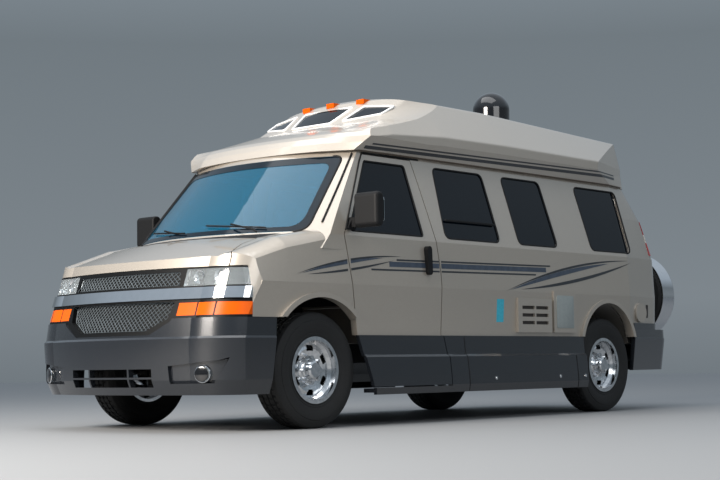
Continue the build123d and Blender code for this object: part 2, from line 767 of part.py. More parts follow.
# Lower side cladding with the door's share cut out
skirt_front = ((front_axle_x - 416, cladding_top), (front_axle_x - 508, cladding_bottom - 5))
skirt_rear_x = rear_axle_x + 372
left_skirt_zone = side_prism(
    (skirt_front[0], skirt_front[1], (skirt_rear_x, cladding_bottom - 5),
     (skirt_rear_x, cladding_top)), 900, 1100,
)
with BuildPart() as left_skirt:
    add(cladding_solid(skirt_rear_x, front_axle_x - 380, 1) & left_skirt_zone)
    add(cab_opening, mode=Mode.SUBTRACT)
    add(box(skirt_rear_x, hinge_x - 1080, 925, 985, cladding_top - 30, cladding_top))
    add(box(hinge_x - 1040, hinge_x - 240, 925 + seat, 1020, 222, 250))
with BuildPart() as side_skirts:
    add(left_skirt.part)
    add(flipped(left_skirt.part))
pieces["side_skirts"] = side_skirts.part

# High roof: one moulding, lofted by station along the vehicle, then cut to the outline of
# its nose and tail. The lower nose caps the windscreen, the upper one holds the windows.
roof_lip_y = side_y(gutter_height) + 14
crease_y, edge_y = 938, 705
edge_round = 60
roof_wall = 45
# columns: x, crease above the gutter, edge and crown below the roof height, crease radius
roof_stations = (
    (tail_x, 165, 140, 75, 25), (rear_axle_x + 1269, 173, 68, 0, 25),
    (front_axle_x - 1400, 164, 68, 0, 25), (front_axle_x - 820, 126, 68, 0, 20),
    (front_axle_x - 557, 79, 68, 0, 12), (front_axle_x - 400, 20, 68, 0, 4),
    (front_axle_x - 260, 14, 68, 0, 3),
)
cap_front_x = screen_base_x - screen_run + 8
cap_shoulder_y = 600
cap_round = 120
# columns: height, then how far the centre, the shoulder and the side lie behind the cap's
# front, and the y of the side
roof_nose_levels = (
    (gutter_height, 0, 78, 288, 1000), (gutter_height + 57, 37, 114, 296, 1000),
    (gutter_height + 103, 87, 158, 308, 1000), (gutter_height + 137, 155, 213, 326, 1000),
    (gutter_height + 155, 210, 263, 338, 1000), (gutter_height + 290, 625, 693, 1048, 1000),
    (roof_height - 30, 908, 1043, 1848, 800), (roof_height + 20, 1048, 1188, 2048, 780),
)
# columns: height, tail x, half width, half width at the tail, corner radius, start of taper
roof_tail_levels = (
    (gutter_height, tail_x + 274, roof_lip_y + 2, roof_lip_y - 91, 240, taper_x),
    (gutter_height + 102, tail_x + 224, crease_y - 3, 700, 310, taper_x + 349),
    (gutter_height + 170, tail_x + 219, crease_y + 7, 690, 310, taper_x + 349),
    (roof_height - 130, tail_x + 284, crease_y - 38, 660, 250, taper_x + 349),
    (roof_height + 30, tail_x + 409, crease_y - 38, 600, 250, taper_x + 349),
)


def roof_section(station, inset):
    x, crease_rise, edge_drop, crown_drop, crease_round = station
    low = gutter_height + seat - (30 if inset > 0 else 0)
    crease = (crease_y - inset, gutter_height + crease_rise - inset * 0.6)
    edge = (edge_y - inset, roof_height - edge_drop - inset * 0.6)
    side = [(roof_lip_y - inset, low),
            (crease[0] - 10, low + 0.62 * (crease[1] - low)), crease, edge]
    with BuildSketch(Plane.YZ.offset(x)) as section:
        with BuildLine():
            for sign in (1, -1):
                Polyline((0, low), *[(sign * y, z) for y, z in side])
            ThreePointArc((-edge[0], edge[1]), (0, roof_height - crown_drop - inset), edge)
        make_face()
        for corner, radius in ((crease, crease_round), (edge, edge_round)):
            fillet([v for v in section.vertices() if abs(abs(v.X) - corner[0]) < 1], radius)
    return section.sketch


def roof_nose(shift):
    """All that lies behind the nose of the roof, the nose set back and down by shift."""
    outlines = []
    for height, centre, shoulder, side, side_y1 in roof_nose_levels:
        x0, x1, x2 = (cap_front_x - shift - back for back in (centre, shoulder, side))
        with BuildSketch(Plane.XY.offset(height - shift)) as outline:
            with BuildLine():
                ThreePointArc((x1, cap_shoulder_y), (x0, 0), (x1, -cap_shoulder_y))
                Polyline((x1, cap_shoulder_y), (x2, side_y1), (-far, side_y1),
                         (-far, -side_y1), (x2, -side_y1), (x1, -cap_shoulder_y))
            make_face()
            fillet([v for v in outline.vertices() if abs(abs(v.Y) - cap_shoulder_y) < 1],
                   cap_round)
        outlines.append(outline.sketch)
    with BuildPart() as solid:
        loft(outlines, ruled=True)
    return solid.part


def roof_tail(inset):
    outlines = []
    for height, tail, half_width, tail_half_width, corner, taper in roof_tail_levels:
        side, tail_side = half_width - inset, tail_half_width - inset
        with BuildSketch(Plane.XY.offset(height - inset * 0.6)) as outline:
            with BuildLine():
                Polyline((far, side), (taper, side), (tail + inset, tail_side),
                         (tail + inset, -tail_side), (taper, -side), (far, -side), close=True)
            make_face()
            fillet(outline.vertices().group_by(Axis.X)[0], corner - inset)
        outlines.append(outline.sketch)
    with BuildPart() as solid:
        loft(outlines, ruled=True)
    return solid.part


def roof_solid(inset):
    with BuildPart() as solid:
        loft([roof_section(station, inset) for station in roof_stations], ruled=True)
        add(roof_nose(inset * 0.78), mode=Mode.INTERSECT)
        add(roof_tail(inset), mode=Mode.INTERSECT)
    return solid.part


# Slanted roof windows, points as (y, z)
roof_window_low, roof_window_high = gutter_height + 305, roof_height - 80
roof_window_outlines = (
    ((-195, roof_window_low), (195, roof_window_low), (250, roof_window_high),
     (-250, roof_window_high)),
    ((295, roof_window_low + 5), (590, roof_window_low + 40), (612, roof_window_high - 30),
     (350, roof_window_high - 4)),
    ((-295, roof_window_low + 5), (-590, roof_window_low + 40), (-612, roof_window_high - 30),
     (-350, roof_window_high - 4)),
)
lip_plate = 12
roof_mouth = body_solid(wall, gutter_height - 50, gutter_height + 50) & screen_block(pillar)
roof_outside = roof_solid(0)
with BuildPart() as high_roof:
    add(roof_outside)
    add(roof_solid(roof_wall), mode=Mode.SUBTRACT)
    add(roof_outside & box(-far, far, -1100, 1100, gutter_height, gutter_height + lip_plate)
        - roof_mouth)
    for outline in roof_window_outlines:
        add(end_prism(outline, cap_front_x - 1348, cap_front_x, radius=16),
            mode=Mode.SUBTRACT)
pieces["high_roof"] = high_roof.part
with BuildPart() as roof_windows:
    pane = roof_nose(4 * 0.72) - roof_nose((4 + glass) * 0.72)
    for outline in roof_window_outlines:
        add(pane & end_prism(outline, cap_front_x - 1348, cap_front_x, radius=16, grow=-seat))
pieces["roof_windows"] = roof_windows.part

# Wheels, turned about their axles at each corner
rim_half = rim_width / 2
tyre_profile = (
    (bead_radius, -rim_half), (lip_radius, -rim_half), (tyre_radius - 81, -tyre_width / 2),
    (tyre_radius - 33, -112),
    (tyre_radius - 8, -96), (tyre_radius, -78), (tyre_radius, 78), (tyre_radius - 8, 96),
    (tyre_radius - 33, 112), (tyre_radius - 81, tyre_width / 2), (lip_radius, rim_half),
    (bead_radius, rim_half),
)
barrel = bead_radius - seat
rim_profile = (
    (barrel, -rim_half - seat), (lip_radius - 6, -rim_half - seat),
    (lip_radius - 6, -rim_half - 6), (barrel - 9, -rim_half - 6), (barrel - 9, -30),
    (barrel - 32, 0), (barrel - 32, 34), (barrel - 8, 60), (barrel - 9, rim_half + 8),
    (lip_radius - 2, rim_half + 8), (lip_radius - 2, rim_half + seat),
    (barrel, rim_half + seat),
)
disc_face = 38                  # wheel disc, outwards of the wheel's middle
disc_thick = 9
hub_cap_radius, hub_cap_reach = 62, 104
hub_radius = 96
hub_inner = -88


def turned(profile, x, y, z, facing):
    """A profile of (radius, offset) turned about the axle through (x, y, z)."""
    with BuildSketch(Plane((x, y, z), x_dir=(1, 0, 0), z_dir=(0, 0, 1))) as section:
        with BuildLine():
            Polyline(*[(radius, facing * along) for radius, along in profile], close=True)
        make_face()
    with BuildPart() as body:
        add(section.sketch)
        revolve(axis=Axis((x, y, z), (0, 1, 0)))
    return body.part


hub_profile = (
    (0, hub_inner), (hub_radius, hub_inner), (hub_radius, disc_face),
    (hub_radius - 10, disc_face + 12), (hub_cap_radius + 6, disc_face + 14),
    (hub_cap_radius, disc_face + 22), (hub_cap_radius - 3, hub_cap_reach - 8),
    (hub_cap_radius - 14, hub_cap_reach), (0, hub_cap_reach),
)
disc_profile = (
    (hub_radius - 5, disc_face - disc_thick), (hub_radius + 20, disc_face + 6 - disc_thick),
    (barrel - 60, disc_face + 14 - disc_thick), (barrel - 20, disc_face - disc_thick),
    (barrel - 20, disc_face), (barrel - 60, disc_face + 14), (hub_radius + 20, disc_face + 6),
    (hub_radius - 5, disc_face),
)
wheel_rows = (
    ("left_front", front_axle_x, wheel_y), ("right_front", front_axle_x, -wheel_y),
    ("left_rear", rear_axle_x, wheel_y), ("right_rear", rear_axle_x, -wheel_y),
)
for name, x, y in wheel_rows:
    facing = 1 if y > 0 else -1
    pieces[f"{name}_tyre"] = turned(tyre_profile, x, y, axle_z, facing)
    with BuildPart() as wheel:
        add(turned(rim_profile, x, y, axle_z, facing))
        add(turned(disc_profile, x, y, axle_z, facing))
        with BuildSketch(Plane((x, y, axle_z), x_dir=(1, 0, 0), z_dir=(0, -facing, 0))):
            with PolarLocations((hub_radius + barrel) / 2 - 4, hand_holes, start_angle=30):
                Rectangle(38, 62)
        extrude(amount=-(disc_face + 30), mode=Mode.SUBTRACT)
        add(turned(hub_profile, x, y, axle_z, facing))
        with BuildSketch(Plane((x, y + facing * (disc_face + 5), axle_z), x_dir=(1, 0, 0),
                               z_dir=(0, facing, 0))):
            with PolarLocations(stud_circle / 2, stud_count):
                RegularPolygon(12, 6)
        extrude(amount=34)
    pieces[f"{name}_rim"] = wheel.part

# Knuckles turn about upright king pins held between the wishbones
knuckle_low, knuckle_high = axle_z - 95, axle_z + 105
post_radius = 30
spindle_end = wheel_y + hub_inner - seat
arm_thick = 24
for name, side in (("left", 1), ("right", -1)):
    with BuildPart() as knuckle:
        with Locations((front_axle_x, side * king_pin_y, (knuckle_low + knuckle_high) / 2)):
            Cylinder(post_radius, knuckle_high - knuckle_low)
        with BuildSketch(Plane((front_axle_x, side * king_pin_y, axle_z), x_dir=(1, 0, 0),
                               z_dir=(0, side, 0))):
            Circle(46)
        extrude(amount=spindle_end - king_pin_y)
    pieces[f"{name}_knuckle"] = knuckle.part

# Frame: two rails, cross members, wishbones, leaf spring hangers and the bumper ends
cross_members = (front_axle_x - 250, front_axle_x + 250, front_axle_x - 1000,
                 front_axle_x - 2000, rear_axle_x + 700, rear_axle_x - 700)
spring_y, spring_width, spring_half = 560, 64, 640
hanger_low = rail_high - 45
spring_top = hanger_low - seat
spring_thick = 22
floor_high = cladding_top
with BuildPart() as frame_rails:
    for side in (1, -1):
        add(box(rail_rear_x, rail_front_x, side * rail_y - rail_width / 2,
                side * rail_y + rail_width / 2, rail_low, rail_high))
        for low in (knuckle_low - seat - arm_thick, knuckle_high + seat):
            arm = plan_prism(
                ((front_axle_x - 170, 460), (front_axle_x - 34, king_pin_y),
                 (front_axle_x + 34, king_pin_y), (front_axle_x + 170, 460)),
                low, low + arm_thick,
            )
            add(arm if side > 0 else flipped(arm))
            with Locations((front_axle_x, side * king_pin_y, low + arm_thick / 2)):
                Cylinder(34, arm_thick)
        add(box(front_axle_x - 175, front_axle_x + 175, side * 435 - 35, side * 435 + 35,
                knuckle_low - seat - arm_thick, rail_high))
        for end in (-1, 1):
            hanger_x = rear_axle_x + end * spring_half
            add(box(hanger_x - 30, hanger_x + 30, min(side * 420, side * 600),
                    max(side * 420, side * 600), hanger_low, rail_high))
    for x in cross_members:
        add(box(x - 35, x + 35, -rail_y, rail_y, rail_low + 20, rail_high - 5))
pieces["frame_rails"] = frame_rails.part

# Rear axle on its leaf springs
axle_radius = 42
diff_radius = 150
with BuildPart() as rear_axle:
    with BuildSketch(Plane.XZ.offset(-(wheel_y + hub_inner - seat))):
        with Locations((rear_axle_x, axle_z)):
            Circle(axle_radius)
    extrude(amount=2 * (wheel_y + hub_inner - seat))
    with BuildSketch(Plane.XZ.offset(-110)):
        with Locations((rear_axle_x, axle_z)):
            Circle(diff_radius)
    extrude(amount=220)
    fillet(rear_axle.edges().filter_by(GeomType.CIRCLE).group_by(SortBy.RADIUS)[-1], 45)
    for side in (1, -1):
        sagged = side_prism(
            ((rear_axle_x - spring_half, spring_top - spring_thick),
             (rear_axle_x, spring_top - 86),
             (rear_axle_x + spring_half, spring_top - spring_thick),
             (rear_axle_x + spring_half, spring_top), (rear_axle_x + 60, spring_top - 32),
             (rear_axle_x - 60, spring_top - 32), (rear_axle_x - spring_half, spring_top)),
            side * spring_y - spring_width / 2, side * spring_y + spring_width / 2,
        )
        add(sagged)
        add(box(rear_axle_x - 50, rear_axle_x + 50, side * spring_y - 40, side * spring_y + 40,
                axle_z, 450))
pieces["rear_axle"] = rear_axle.part

with BuildPart() as engine_block:
    add(box(front_axle_x - 320, front_axle_x + 330, -280, 280, rail_high - 5 + seat, 1010))
pieces["engine_block"] = engine_block.part

# Floor, with a toe wall and housings over the rear wheels
toe_x = front_axle_x - 470
floor_y = side_y(cladding_top, wall) - 10 - seat
housing_wall = 12
housing_inner_y = 692


def housing(grow):
    radius = rear_arch_radius + 10 + grow
    return side_disc(rear_axle_x, rear_arch_z, radius, housing_inner_y - grow, floor_y) + box(
        rear_axle_x - radius, rear_axle_x + radius, housing_inner_y - grow, floor_y,
        300, rear_arch_z,
    )


with BuildPart() as floor_pan:
    add(plan_prism(
        ((toe_x, floor_y), (taper_x, floor_y), (rear_bumper_start, 870), (tail_x + 150, 815),
         (tail_x + 60, 730), (tail_x + 60, -730), (tail_x + 150, -815),
         (rear_bumper_start, -870), (taper_x, -floor_y), (toe_x, -floor_y)),
        floor_low, floor_high))
    add(box(toe_x - 10, hinge_x - 112, -490, 490, floor_low, floor_high))
    for well in (housing(housing_wall), flipped(housing(housing_wall))):
        add(well & box(-far, 0, -1100, 1100, floor_low, 1500))
    for well in (housing(0), flipped(housing(0))):
        add(well, mode=Mode.SUBTRACT)
    for side in (1, -1):
        y0, y1 = sorted((side * 490, side * floor_y))
        add(box(toe_x - 12, toe_x, y0, y1, floor_low, 812))
        add(box(toe_x - 12, hinge_x - 112, y0, y1, 800, 812))
        y0, y1 = sorted((side * 478, side * 490))
        add(box(toe_x - 12, hinge_x - 112, y0, y1, floor_low, 812))
pieces["floor_pan"] = floor_pan.part

# Cab furniture and the camper's own
wheel_centre = (hinge_x - 300, 480, 1235)
column_tilt = 32                # steering column rises towards the driver, from level
column = (-cos(radians(column_tilt)), 0, sin(radians(column_tilt)))
steering_radius = 190
with BuildPart() as dashboard:
    with BuildSketch(Plane.XZ.offset(-840)):
        with BuildLine():
            Polyline((hinge_x - 97, 1162.3), (hinge_x + 200, 1162.3), (hinge_x + 200, 1215),
                     (hinge_x - 40, 1268), (hinge_x - 190, 1230), (hinge_x - 230, 1120),
                     (hinge_x - 200, 960), (hinge_x - 110.3, 940), (hinge_x - 110.3, 1162.3),
                     close=True)
        make_face()
    extrude(amount=1680)
    with BuildSketch(Plane(wheel_centre, x_dir=(0, 1, 0), z_dir=column).offset(-60 - seat)):
        Circle(30)
    extrude(amount=-120)
pieces["dashboard"] = dashboard.part

seat_x = hinge_x - 560
seat_base_top = 880
with BuildPart() as cab_seats:
    for y in (480, -480):
        profile = ((seat_x - 230, floor_high + seat), (seat_x + 200, floor_high + seat),
                   (seat_x + 240, seat_base_top - 150), (seat_x + 270, seat_base_top),
                   (seat_x - 150, seat_base_top + 15), (seat_x - 330, 1500),
                   (seat_x - 450, 1490), (seat_x - 270, seat_base_top - 40))
        add(side_prism(profile, y - 250, y + 250, radius=30))
        add(side_prism(((seat_x - 345, 1490), (seat_x - 360, 1640), (seat_x - 450, 1630),
                        (seat_x - 440, 1480)), y - 120, y + 120, radius=12))
pieces["cab_seats"] = cab_seats.part

with BuildPart() as steering_wheel:
    with BuildSketch(Plane(wheel_centre, x_dir=(0, 1, 0), z_dir=column)):
        Circle(46)
        for angle in (0, 90, 180):
            with Locations(Location((0, 0), -angle)):
                with Locations((steering_radius / 2, 0)):
                    Rectangle(steering_radius, 30)
    extrude(amount=14)
    torus = Solid.make_torus(steering_radius, 15, Plane(wheel_centre, z_dir=column))
    add(torus)
    with BuildSketch(Plane(wheel_centre, x_dir=(0, 1, 0), z_dir=column)):
        Circle(24)
    extrude(amount=-60)
pieces["steering_wheel"] = steering_wheel.part

with BuildPart() as camper_furniture:
    add(box(rear_axle_x + 450, 300, 480, 925, floor_high + seat, 1250))
    add(box(tail_x + 120, rear_axle_x + 430, 480, 660, floor_high + seat, 1100))
    add(box(tail_x + 120, rear_axle_x + 430, -660, -480, floor_high + seat, 1100))
pieces["camper_furniture"] = camper_furniture.part

# Lamps at the tail and along the roof
body_clear = body_solid(-seat, cladding_top - 200, gutter_height)
with BuildPart() as tail_lamps:
    lamp = body_solid(-6, 1000, gutter_height) - body_solid(tail_lamp_depth, 950, gutter_height)
    lamp &= tail_lamp_zone(-seat)
    add(lamp)
    add(flipped(lamp))
pieces["tail_lamps"] = tail_lamps.part

roof_clear = roof_solid(-seat)
marker_x = cap_front_x - 895
marker_z = roof_height - 37
# columns: y of each lamp, how far it sits behind the middle one
marker_places = ((-280, 30), (0, 0), (280, 30))
with BuildPart() as turn_and_marker_lamps:
    add(amber_lamps.part)
    for y, behind in marker_places:
        x = marker_x - behind
        add(box(x - 60, x + 28, y - 38, y + 38, marker_z - 19, marker_z + 19) - roof_clear)
pieces["amber_lamps"] = turn_and_marker_lamps.part

dome_x, dome_y, dome_radius = rear_axle_x + 209, 0, 158
dome_top = roof_height + dome_rise
dome_shoulder = dome_top - dome_radius
with BuildPart() as roof_dome:
    with BuildSketch(Plane.XZ.offset(-dome_y)):
        with BuildLine():
            Polyline((dome_x, dome_top), (dome_x, roof_height - 60),
                     (dome_x + dome_radius - 3, roof_height - 60),
                     (dome_x + dome_radius, dome_shoulder))
            ThreePointArc(
                (dome_x + dome_radius, dome_shoulder),
                (dome_x + dome_radius * sin(radians(45)),
                 dome_shoulder + (dome_top - dome_shoulder) * cos(radians(45))),
                (dome_x, dome_top),
            )
        make_face()
    revolve(axis=Axis((dome_x, dome_y, 0), (0, 0, 1)))
    add(roof_clear, mode=Mode.SUBTRACT)
pieces["roof_dome"] = roof_dome.part

# Mirrors and handles seat on the skin of the doors
mirror_low, mirror_high = 1328, 1562
handle_x = hinge_x - 855
with BuildPart() as left_door_trim:
    with BuildSketch(Plane.XZ.offset(-mirror_reach)):
        with Locations((hinge_x - 87, (mirror_low + mirror_high) / 2)):
            RectangleRounded(80, mirror_high - mirror_low, 32)
    extrude(amount=mirror_reach - 1030)
    fillet(left_door_trim.edges().group_by(Axis.Y)[-1], 24)
    fillet(left_door_trim.edges().group_by(Axis.Y)[0], 12)
    add(plan_prism(((hinge_x - 127, 940), (hinge_x - 80, 940), (hinge_x - 62, 1060),
                    (hinge_x - 112, 1060)), 1335, 1400))
    add(side_prism(((hinge_x - 112, 1318), (hinge_x - 34, 1318), (hinge_x - 84, 1405),
                    (hinge_x - 132, 1405)), 900, 985))
    with BuildSketch(Plane.XZ.offset(-(body_half_width + 20))):
        with Locations((handle_x, 1140)):
            SlotOverall(205, 48, rotation=88)
    extrude(amount=60)
    add(body_clear, mode=Mode.SUBTRACT)
pieces["left_door_trim"] = left_door_trim.part
pieces["right_door_trim"] = flipped(left_door_trim.part)

with BuildPart() as side_door_handle:
    with BuildSketch(Plane.XZ.offset(-(body_half_width + 20))):
        with Locations((side_split_x + 70, 1140)):
            SlotOverall(205, 48, rotation=90)
    extrude(amount=60)
    add(body_clear, mode=Mode.SUBTRACT)
pieces["side_door_handle"] = flipped(side_door_handle.part)

with BuildPart() as rear_door_handle:
    add(box(tail_x - 24, tail_x + 20, -150, -30, 1085, 1145))
    add(body_clear, mode=Mode.SUBTRACT)
pieces["rear_door_handle"] = rear_door_handle.part

# Spare wheel on the left rear door, under a bright cover
spare_y, spare_z = 400, 992
cover_back = -overall_length / 2
spare_front = cover_back + tyre_width + 26
spare_middle = spare_front - tyre_width / 2
cover_radius = tyre_radius + 7


def turned_fore_aft(profile, y, z):
    """A profile of (radius, x) turned about the fore and aft line through (y, z)."""
    with BuildSketch(Plane((0, y, z), x_dir=(0, 1, 0), z_dir=(0, 0, 1))) as section:
        with BuildLine():
            Polyline(*[(radius, -x) for radius, x in profile], close=True)
        make_face()
    with BuildPart() as body:
        add(section.sketch)
        revolve(axis=Axis((0, y, z), (1, 0, 0)))
    return body.part


pieces["spare_tyre"] = turned_fore_aft(
    [(radius, spare_middle + along) for radius, along in tyre_profile], spare_y, spare_z
)
tyre_clear = tyre_radius + seat
pieces["spare_cover"] = turned_fore_aft(
    ((0, cover_back), (240, cover_back + 4), (tyre_radius - 36, cover_back + 16),
     (tyre_radius - 3, cover_back + 34),
     (cover_radius, cover_back + 60), (cover_radius, spare_front - 20),
     (tyre_clear, spare_front - 20), (tyre_clear, cover_back + 64),
     (tyre_radius - 9, cover_back + 44), (tyre_radius - 41, cover_back + 24),
     (240, cover_back + 12), (0, cover_back + 8)), spare_y, spare_z,
)
with BuildPart() as spare_carrier:
    add(turned_fore_aft(
        ((0, tail_x - 8), (70, tail_x - 8), (70, spare_middle - 30),
         (barrel - 9, spare_middle - 30), (barrel - 9, spare_middle + rim_half),
         (barrel, spare_middle + rim_half), (barrel, spare_middle - rim_half),
         (barrel - 9, spare_middle - rim_half), (barrel - 9, spare_middle - 42),
         (0, spare_middle - 42)), spare_y, spare_z))
    add(box(tail_x - 12, tail_x + 20, spare_y - 120, spare_y + 120, spare_z - 130, spare_z + 130))
    add(body_clear, mode=Mode.SUBTRACT)
pieces["spare_carrier"] = spare_carrier.part

# Hitch receiver below the rear bumper
receiver_out, receiver_in, receiver_z = 63.5, 51.0, 282
receiver_back = tail_x - 159
pin_radius = 8.0
pin_x = receiver_back + 65
with BuildPart() as hitch_receiver:
    half = receiver_out / 2
    add(box(tail_x + 20, tail_x + 90, -rail_y, rail_y, receiver_z - 30, receiver_z + 30))
    for side in (1, -1):
        add(box(tail_x + 20, tail_x + 90, side * rail_y - 30, side * rail_y + 30,
                receiver_z - 30, rail_low - seat))
    add(box(receiver_back, tail_x + 30, -half, half, receiver_z - half, receiver_z + half))
    half = receiver_in / 2
    add(box(receiver_back - 1, tail_x + 5, -half, half, receiver_z - half, receiver_z + half),
        mode=Mode.SUBTRACT)
    with BuildSketch(Plane.XZ.offset(-60)):
        with Locations((pin_x, receiver_z)):
            Circle(pin_radius)
    extrude(amount=120, mode=Mode.SUBTRACT)
pieces["hitch_receiver"] = hitch_receiver.part


# Hatches of the camper on the driver's side, and round filler caps
hatch_low, hatch_high = 640, 900
vent_x0, vent_x1 = rear_axle_x + 833, rear_axle_x + 1276
hookup_x0, hookup_x1 = rear_axle_x + 501, rear_axle_x + 803
louvre_rows, louvre_columns = 3, 2
with BuildPart() as side_hatches:
    add(box(vent_x0, vent_x1, 960, body_half_width + 12, hatch_low, hatch_high))
    add(box(hookup_x0, hookup_x1, 960, body_half_width + 12, hatch_low, hatch_high + 65))
    for row in range(louvre_rows):
        for column_index in range(louvre_columns):
            x0 = vent_x0 + 50 + column_index * 180
            z0 = hatch_low + 60 + row * 58
            add(box(x0, x0 + 160, 1000, 1100, z0, z0 + 26), mode=Mode.SUBTRACT)
    add(side_disc(rear_axle_x - 521, 815, 82, 940, body_half_width - 14))
    add(body_clear, mode=Mode.SUBTRACT)
pieces["side_hatches"] = side_hatches.part

os.makedirs("parts", exist_ok=True)
for name, piece in pieces.items():
    piece.label = name
    export_step(piece, f"parts/{name}.step")
    solids = piece.solids()
    print(name, len(solids), [round(s.volume / 1e6, 2) for s in solids], piece.bounding_box())
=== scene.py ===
import json
from math import cos, radians, sin, tan, tau

import bpy
from mathutils import Matrix, Vector


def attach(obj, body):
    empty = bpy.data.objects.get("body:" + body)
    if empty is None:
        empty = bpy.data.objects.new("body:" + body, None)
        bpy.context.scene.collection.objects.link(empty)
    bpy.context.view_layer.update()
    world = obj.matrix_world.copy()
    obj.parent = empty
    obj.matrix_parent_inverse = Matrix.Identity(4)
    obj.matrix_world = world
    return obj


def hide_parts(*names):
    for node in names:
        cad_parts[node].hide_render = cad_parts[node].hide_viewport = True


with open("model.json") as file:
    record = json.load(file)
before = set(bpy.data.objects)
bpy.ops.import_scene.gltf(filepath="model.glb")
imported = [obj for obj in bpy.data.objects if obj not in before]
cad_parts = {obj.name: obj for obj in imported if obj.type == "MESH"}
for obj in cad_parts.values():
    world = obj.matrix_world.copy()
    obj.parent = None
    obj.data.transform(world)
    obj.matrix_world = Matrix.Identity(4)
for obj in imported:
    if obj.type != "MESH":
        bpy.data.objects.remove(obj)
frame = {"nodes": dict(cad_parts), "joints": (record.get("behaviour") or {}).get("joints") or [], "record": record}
bpy.ops.object.select_all(action="DESELECT")
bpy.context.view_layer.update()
nodes = frame["nodes"]
SIDES = (("left", 1), ("right", -1))

# Camera: low, close to the kerb, looking back along the driver's side
CAMERA_AT = (9.198, 7.849, 0.418)
CAMERA_YAW, CAMERA_PITCH, CAMERA_ROLL = -138.071, 4.645, -0.821
CAMERA_LENS, CAMERA_SENSOR = 76.14, 36      # millimetres

yaw, pitch, roll = (radians(a) for a in (CAMERA_YAW, CAMERA_PITCH, CAMERA_ROLL))
ahead = Vector((cos(pitch) * cos(yaw), cos(pitch) * sin(yaw), sin(pitch)))
level_right = Vector((sin(yaw), -cos(yaw), 0))
level_up = level_right.cross(ahead)
right = cos(roll) * level_right + sin(roll) * level_up
up = -sin(roll) * level_right + cos(roll) * level_up
camera_data = bpy.data.cameras.new("photo_camera")
camera_data.sensor_width = CAMERA_SENSOR
camera_data.lens = CAMERA_LENS
camera = bpy.data.objects.new("photo_camera", camera_data)
bpy.context.scene.collection.objects.link(camera)
camera.matrix_world = Matrix.Translation(CAMERA_AT) @ Matrix(
    (right, up, -ahead)).transposed().to_4x4()
bpy.context.scene.camera = camera


# Materials
def linear(code):
    """A colour card's sRGB hex value, as the linear numbers that shaders take."""
    shares = [int(code[i:i + 2], 16) / 255 for i in (1, 3, 5)]
    return (*(s / 12.92 if s <= 0.04045 else ((s + 0.055) / 1.055) ** 2.4 for s in shares), 1)


def node(tree, kind, values=None, links=None):
    """A shader node with its socket values and links."""
    made = tree.nodes.new(kind)
    for socket, value in (values or {}).items():
        made.inputs[socket].default_value = value
    for socket, source in (links or {}).items():
        tree.links.new(source, made.inputs[socket])
    return made


def finish(name, code, **sockets):
    """A material with one colour and its shader's own numbers. Patterns are added after."""
    made = bpy.data.materials.new(name)
    made.use_nodes = True
    shader = made.node_tree.nodes["Principled BSDF"]
    shader.inputs["Base Color"].default_value = linear(code)
    for socket, value in sockets.items():
        shader.inputs[socket.replace("_", " ")].default_value = value
    return made


def noise_of(tree, size_mm, detail):
    """Noise in the object's own space, its features of one real size."""
    place = node(tree, "ShaderNodeTexCoord")
    return node(tree, "ShaderNodeTexNoise", {"Scale": 1000 / size_mm, "Detail": detail},
                {"Vector": place.outputs["Object"]})


def grain(made, size_mm, depth_mm):
    """Bump from noise of one real size: grain, or on glass a long wave."""
    tree = made.node_tree
    noise = noise_of(tree, size_mm, 2.0)
    bump = node(tree, "ShaderNodeBump", {"Strength": 0.6, "Distance": depth_mm / 1000},
                {"Height": noise.outputs["Fac"]})
    tree.links.new(bump.outputs["Normal"], tree.nodes["Principled BSDF"].inputs["Normal"])


def mottle(made, light, dark, size_mm):
    """The colour wanders between two hex values over patches of one real size."""
    tree = made.node_tree
    noise = noise_of(tree, size_mm, 3.0)
    ramp = node(tree, "ShaderNodeValToRGB", None, {"Fac": noise.outputs["Fac"]})
    low, high = ramp.color_ramp.elements
    low.position, low.color = 0.35, linear(dark)
    high.position, high.color = 0.65, linear(light)
    tree.links.new(ramp.outputs["Color"], tree.nodes["Principled BSDF"].inputs["Base Color"])


# Steel panels in metallic paint under clear coat: a soft sheen below a sharp reflection.
# Real flakes are far finer. They are drawn this coarse so that they show.
FLAKE_MM = 2.2
paint = finish("champagne_metallic_paint", "#B0A89D", Metallic=0.5, Roughness=0.36,
               Coat_Weight=1.0, Coat_Roughness=0.04)
mottle(paint, "#B6AEA3", "#A49C91", FLAKE_MM)
# Fibreglass in sprayed gelcoat: the same colour, with less metal and a duller coat
gelcoat = finish("champagne_gelcoat", "#B6AFA5", Metallic=0.3, Roughness=0.36,
                 Coat_Weight=0.8, Coat_Roughness=0.06)
mottle(gelcoat, "#BBB4AA", "#ABA49A", FLAKE_MM)
# Moulded plastic in dark pearl paint: nearly black, and it mirrors the road
charcoal = finish("charcoal_gloss_cladding", "#1B1F25", Metallic=0.2, Roughness=0.26,
                  Coat_Weight=0.8, Coat_Roughness=0.06)
mottle(charcoal, "#1E2228", "#181B20", 3)
# Moulded ABS with a leather grain: dull, its highlight broken up. The grain is half as
# coarse on the real one, and is drawn larger so that it shows.
grained = finish("grained_black_plastic", "#0D0E10", Roughness=0.6, Specular_IOR_Level=0.25)
grain(grained, 1.6, 0.25)
# Moulded ABS off a polished tool: one small sharp highlight
gloss_black = finish("gloss_black_plastic", "#0C0D10", Roughness=0.12, Coat_Weight=0.6)
mottle(gloss_black, "#0E0F13", "#0A0B0D", 4)
# Chromium plate over polished metal: a mirror, its tone drifting a little
chrome = finish("chrome_plate", "#DDDEE0", Metallic=1.0, Roughness=0.06)
mottle(chrome, "#DFE0E2", "#DBDCDE", 40)
# Pressed steel, plated: a mirror that brake dust dulls in places
wheel_chrome = finish("plated_wheel_steel", "#D6D8DA", Metallic=1.0, Roughness=0.14)
mottle(wheel_chrome, "#DEDFE1", "#C4C7C9", 25)
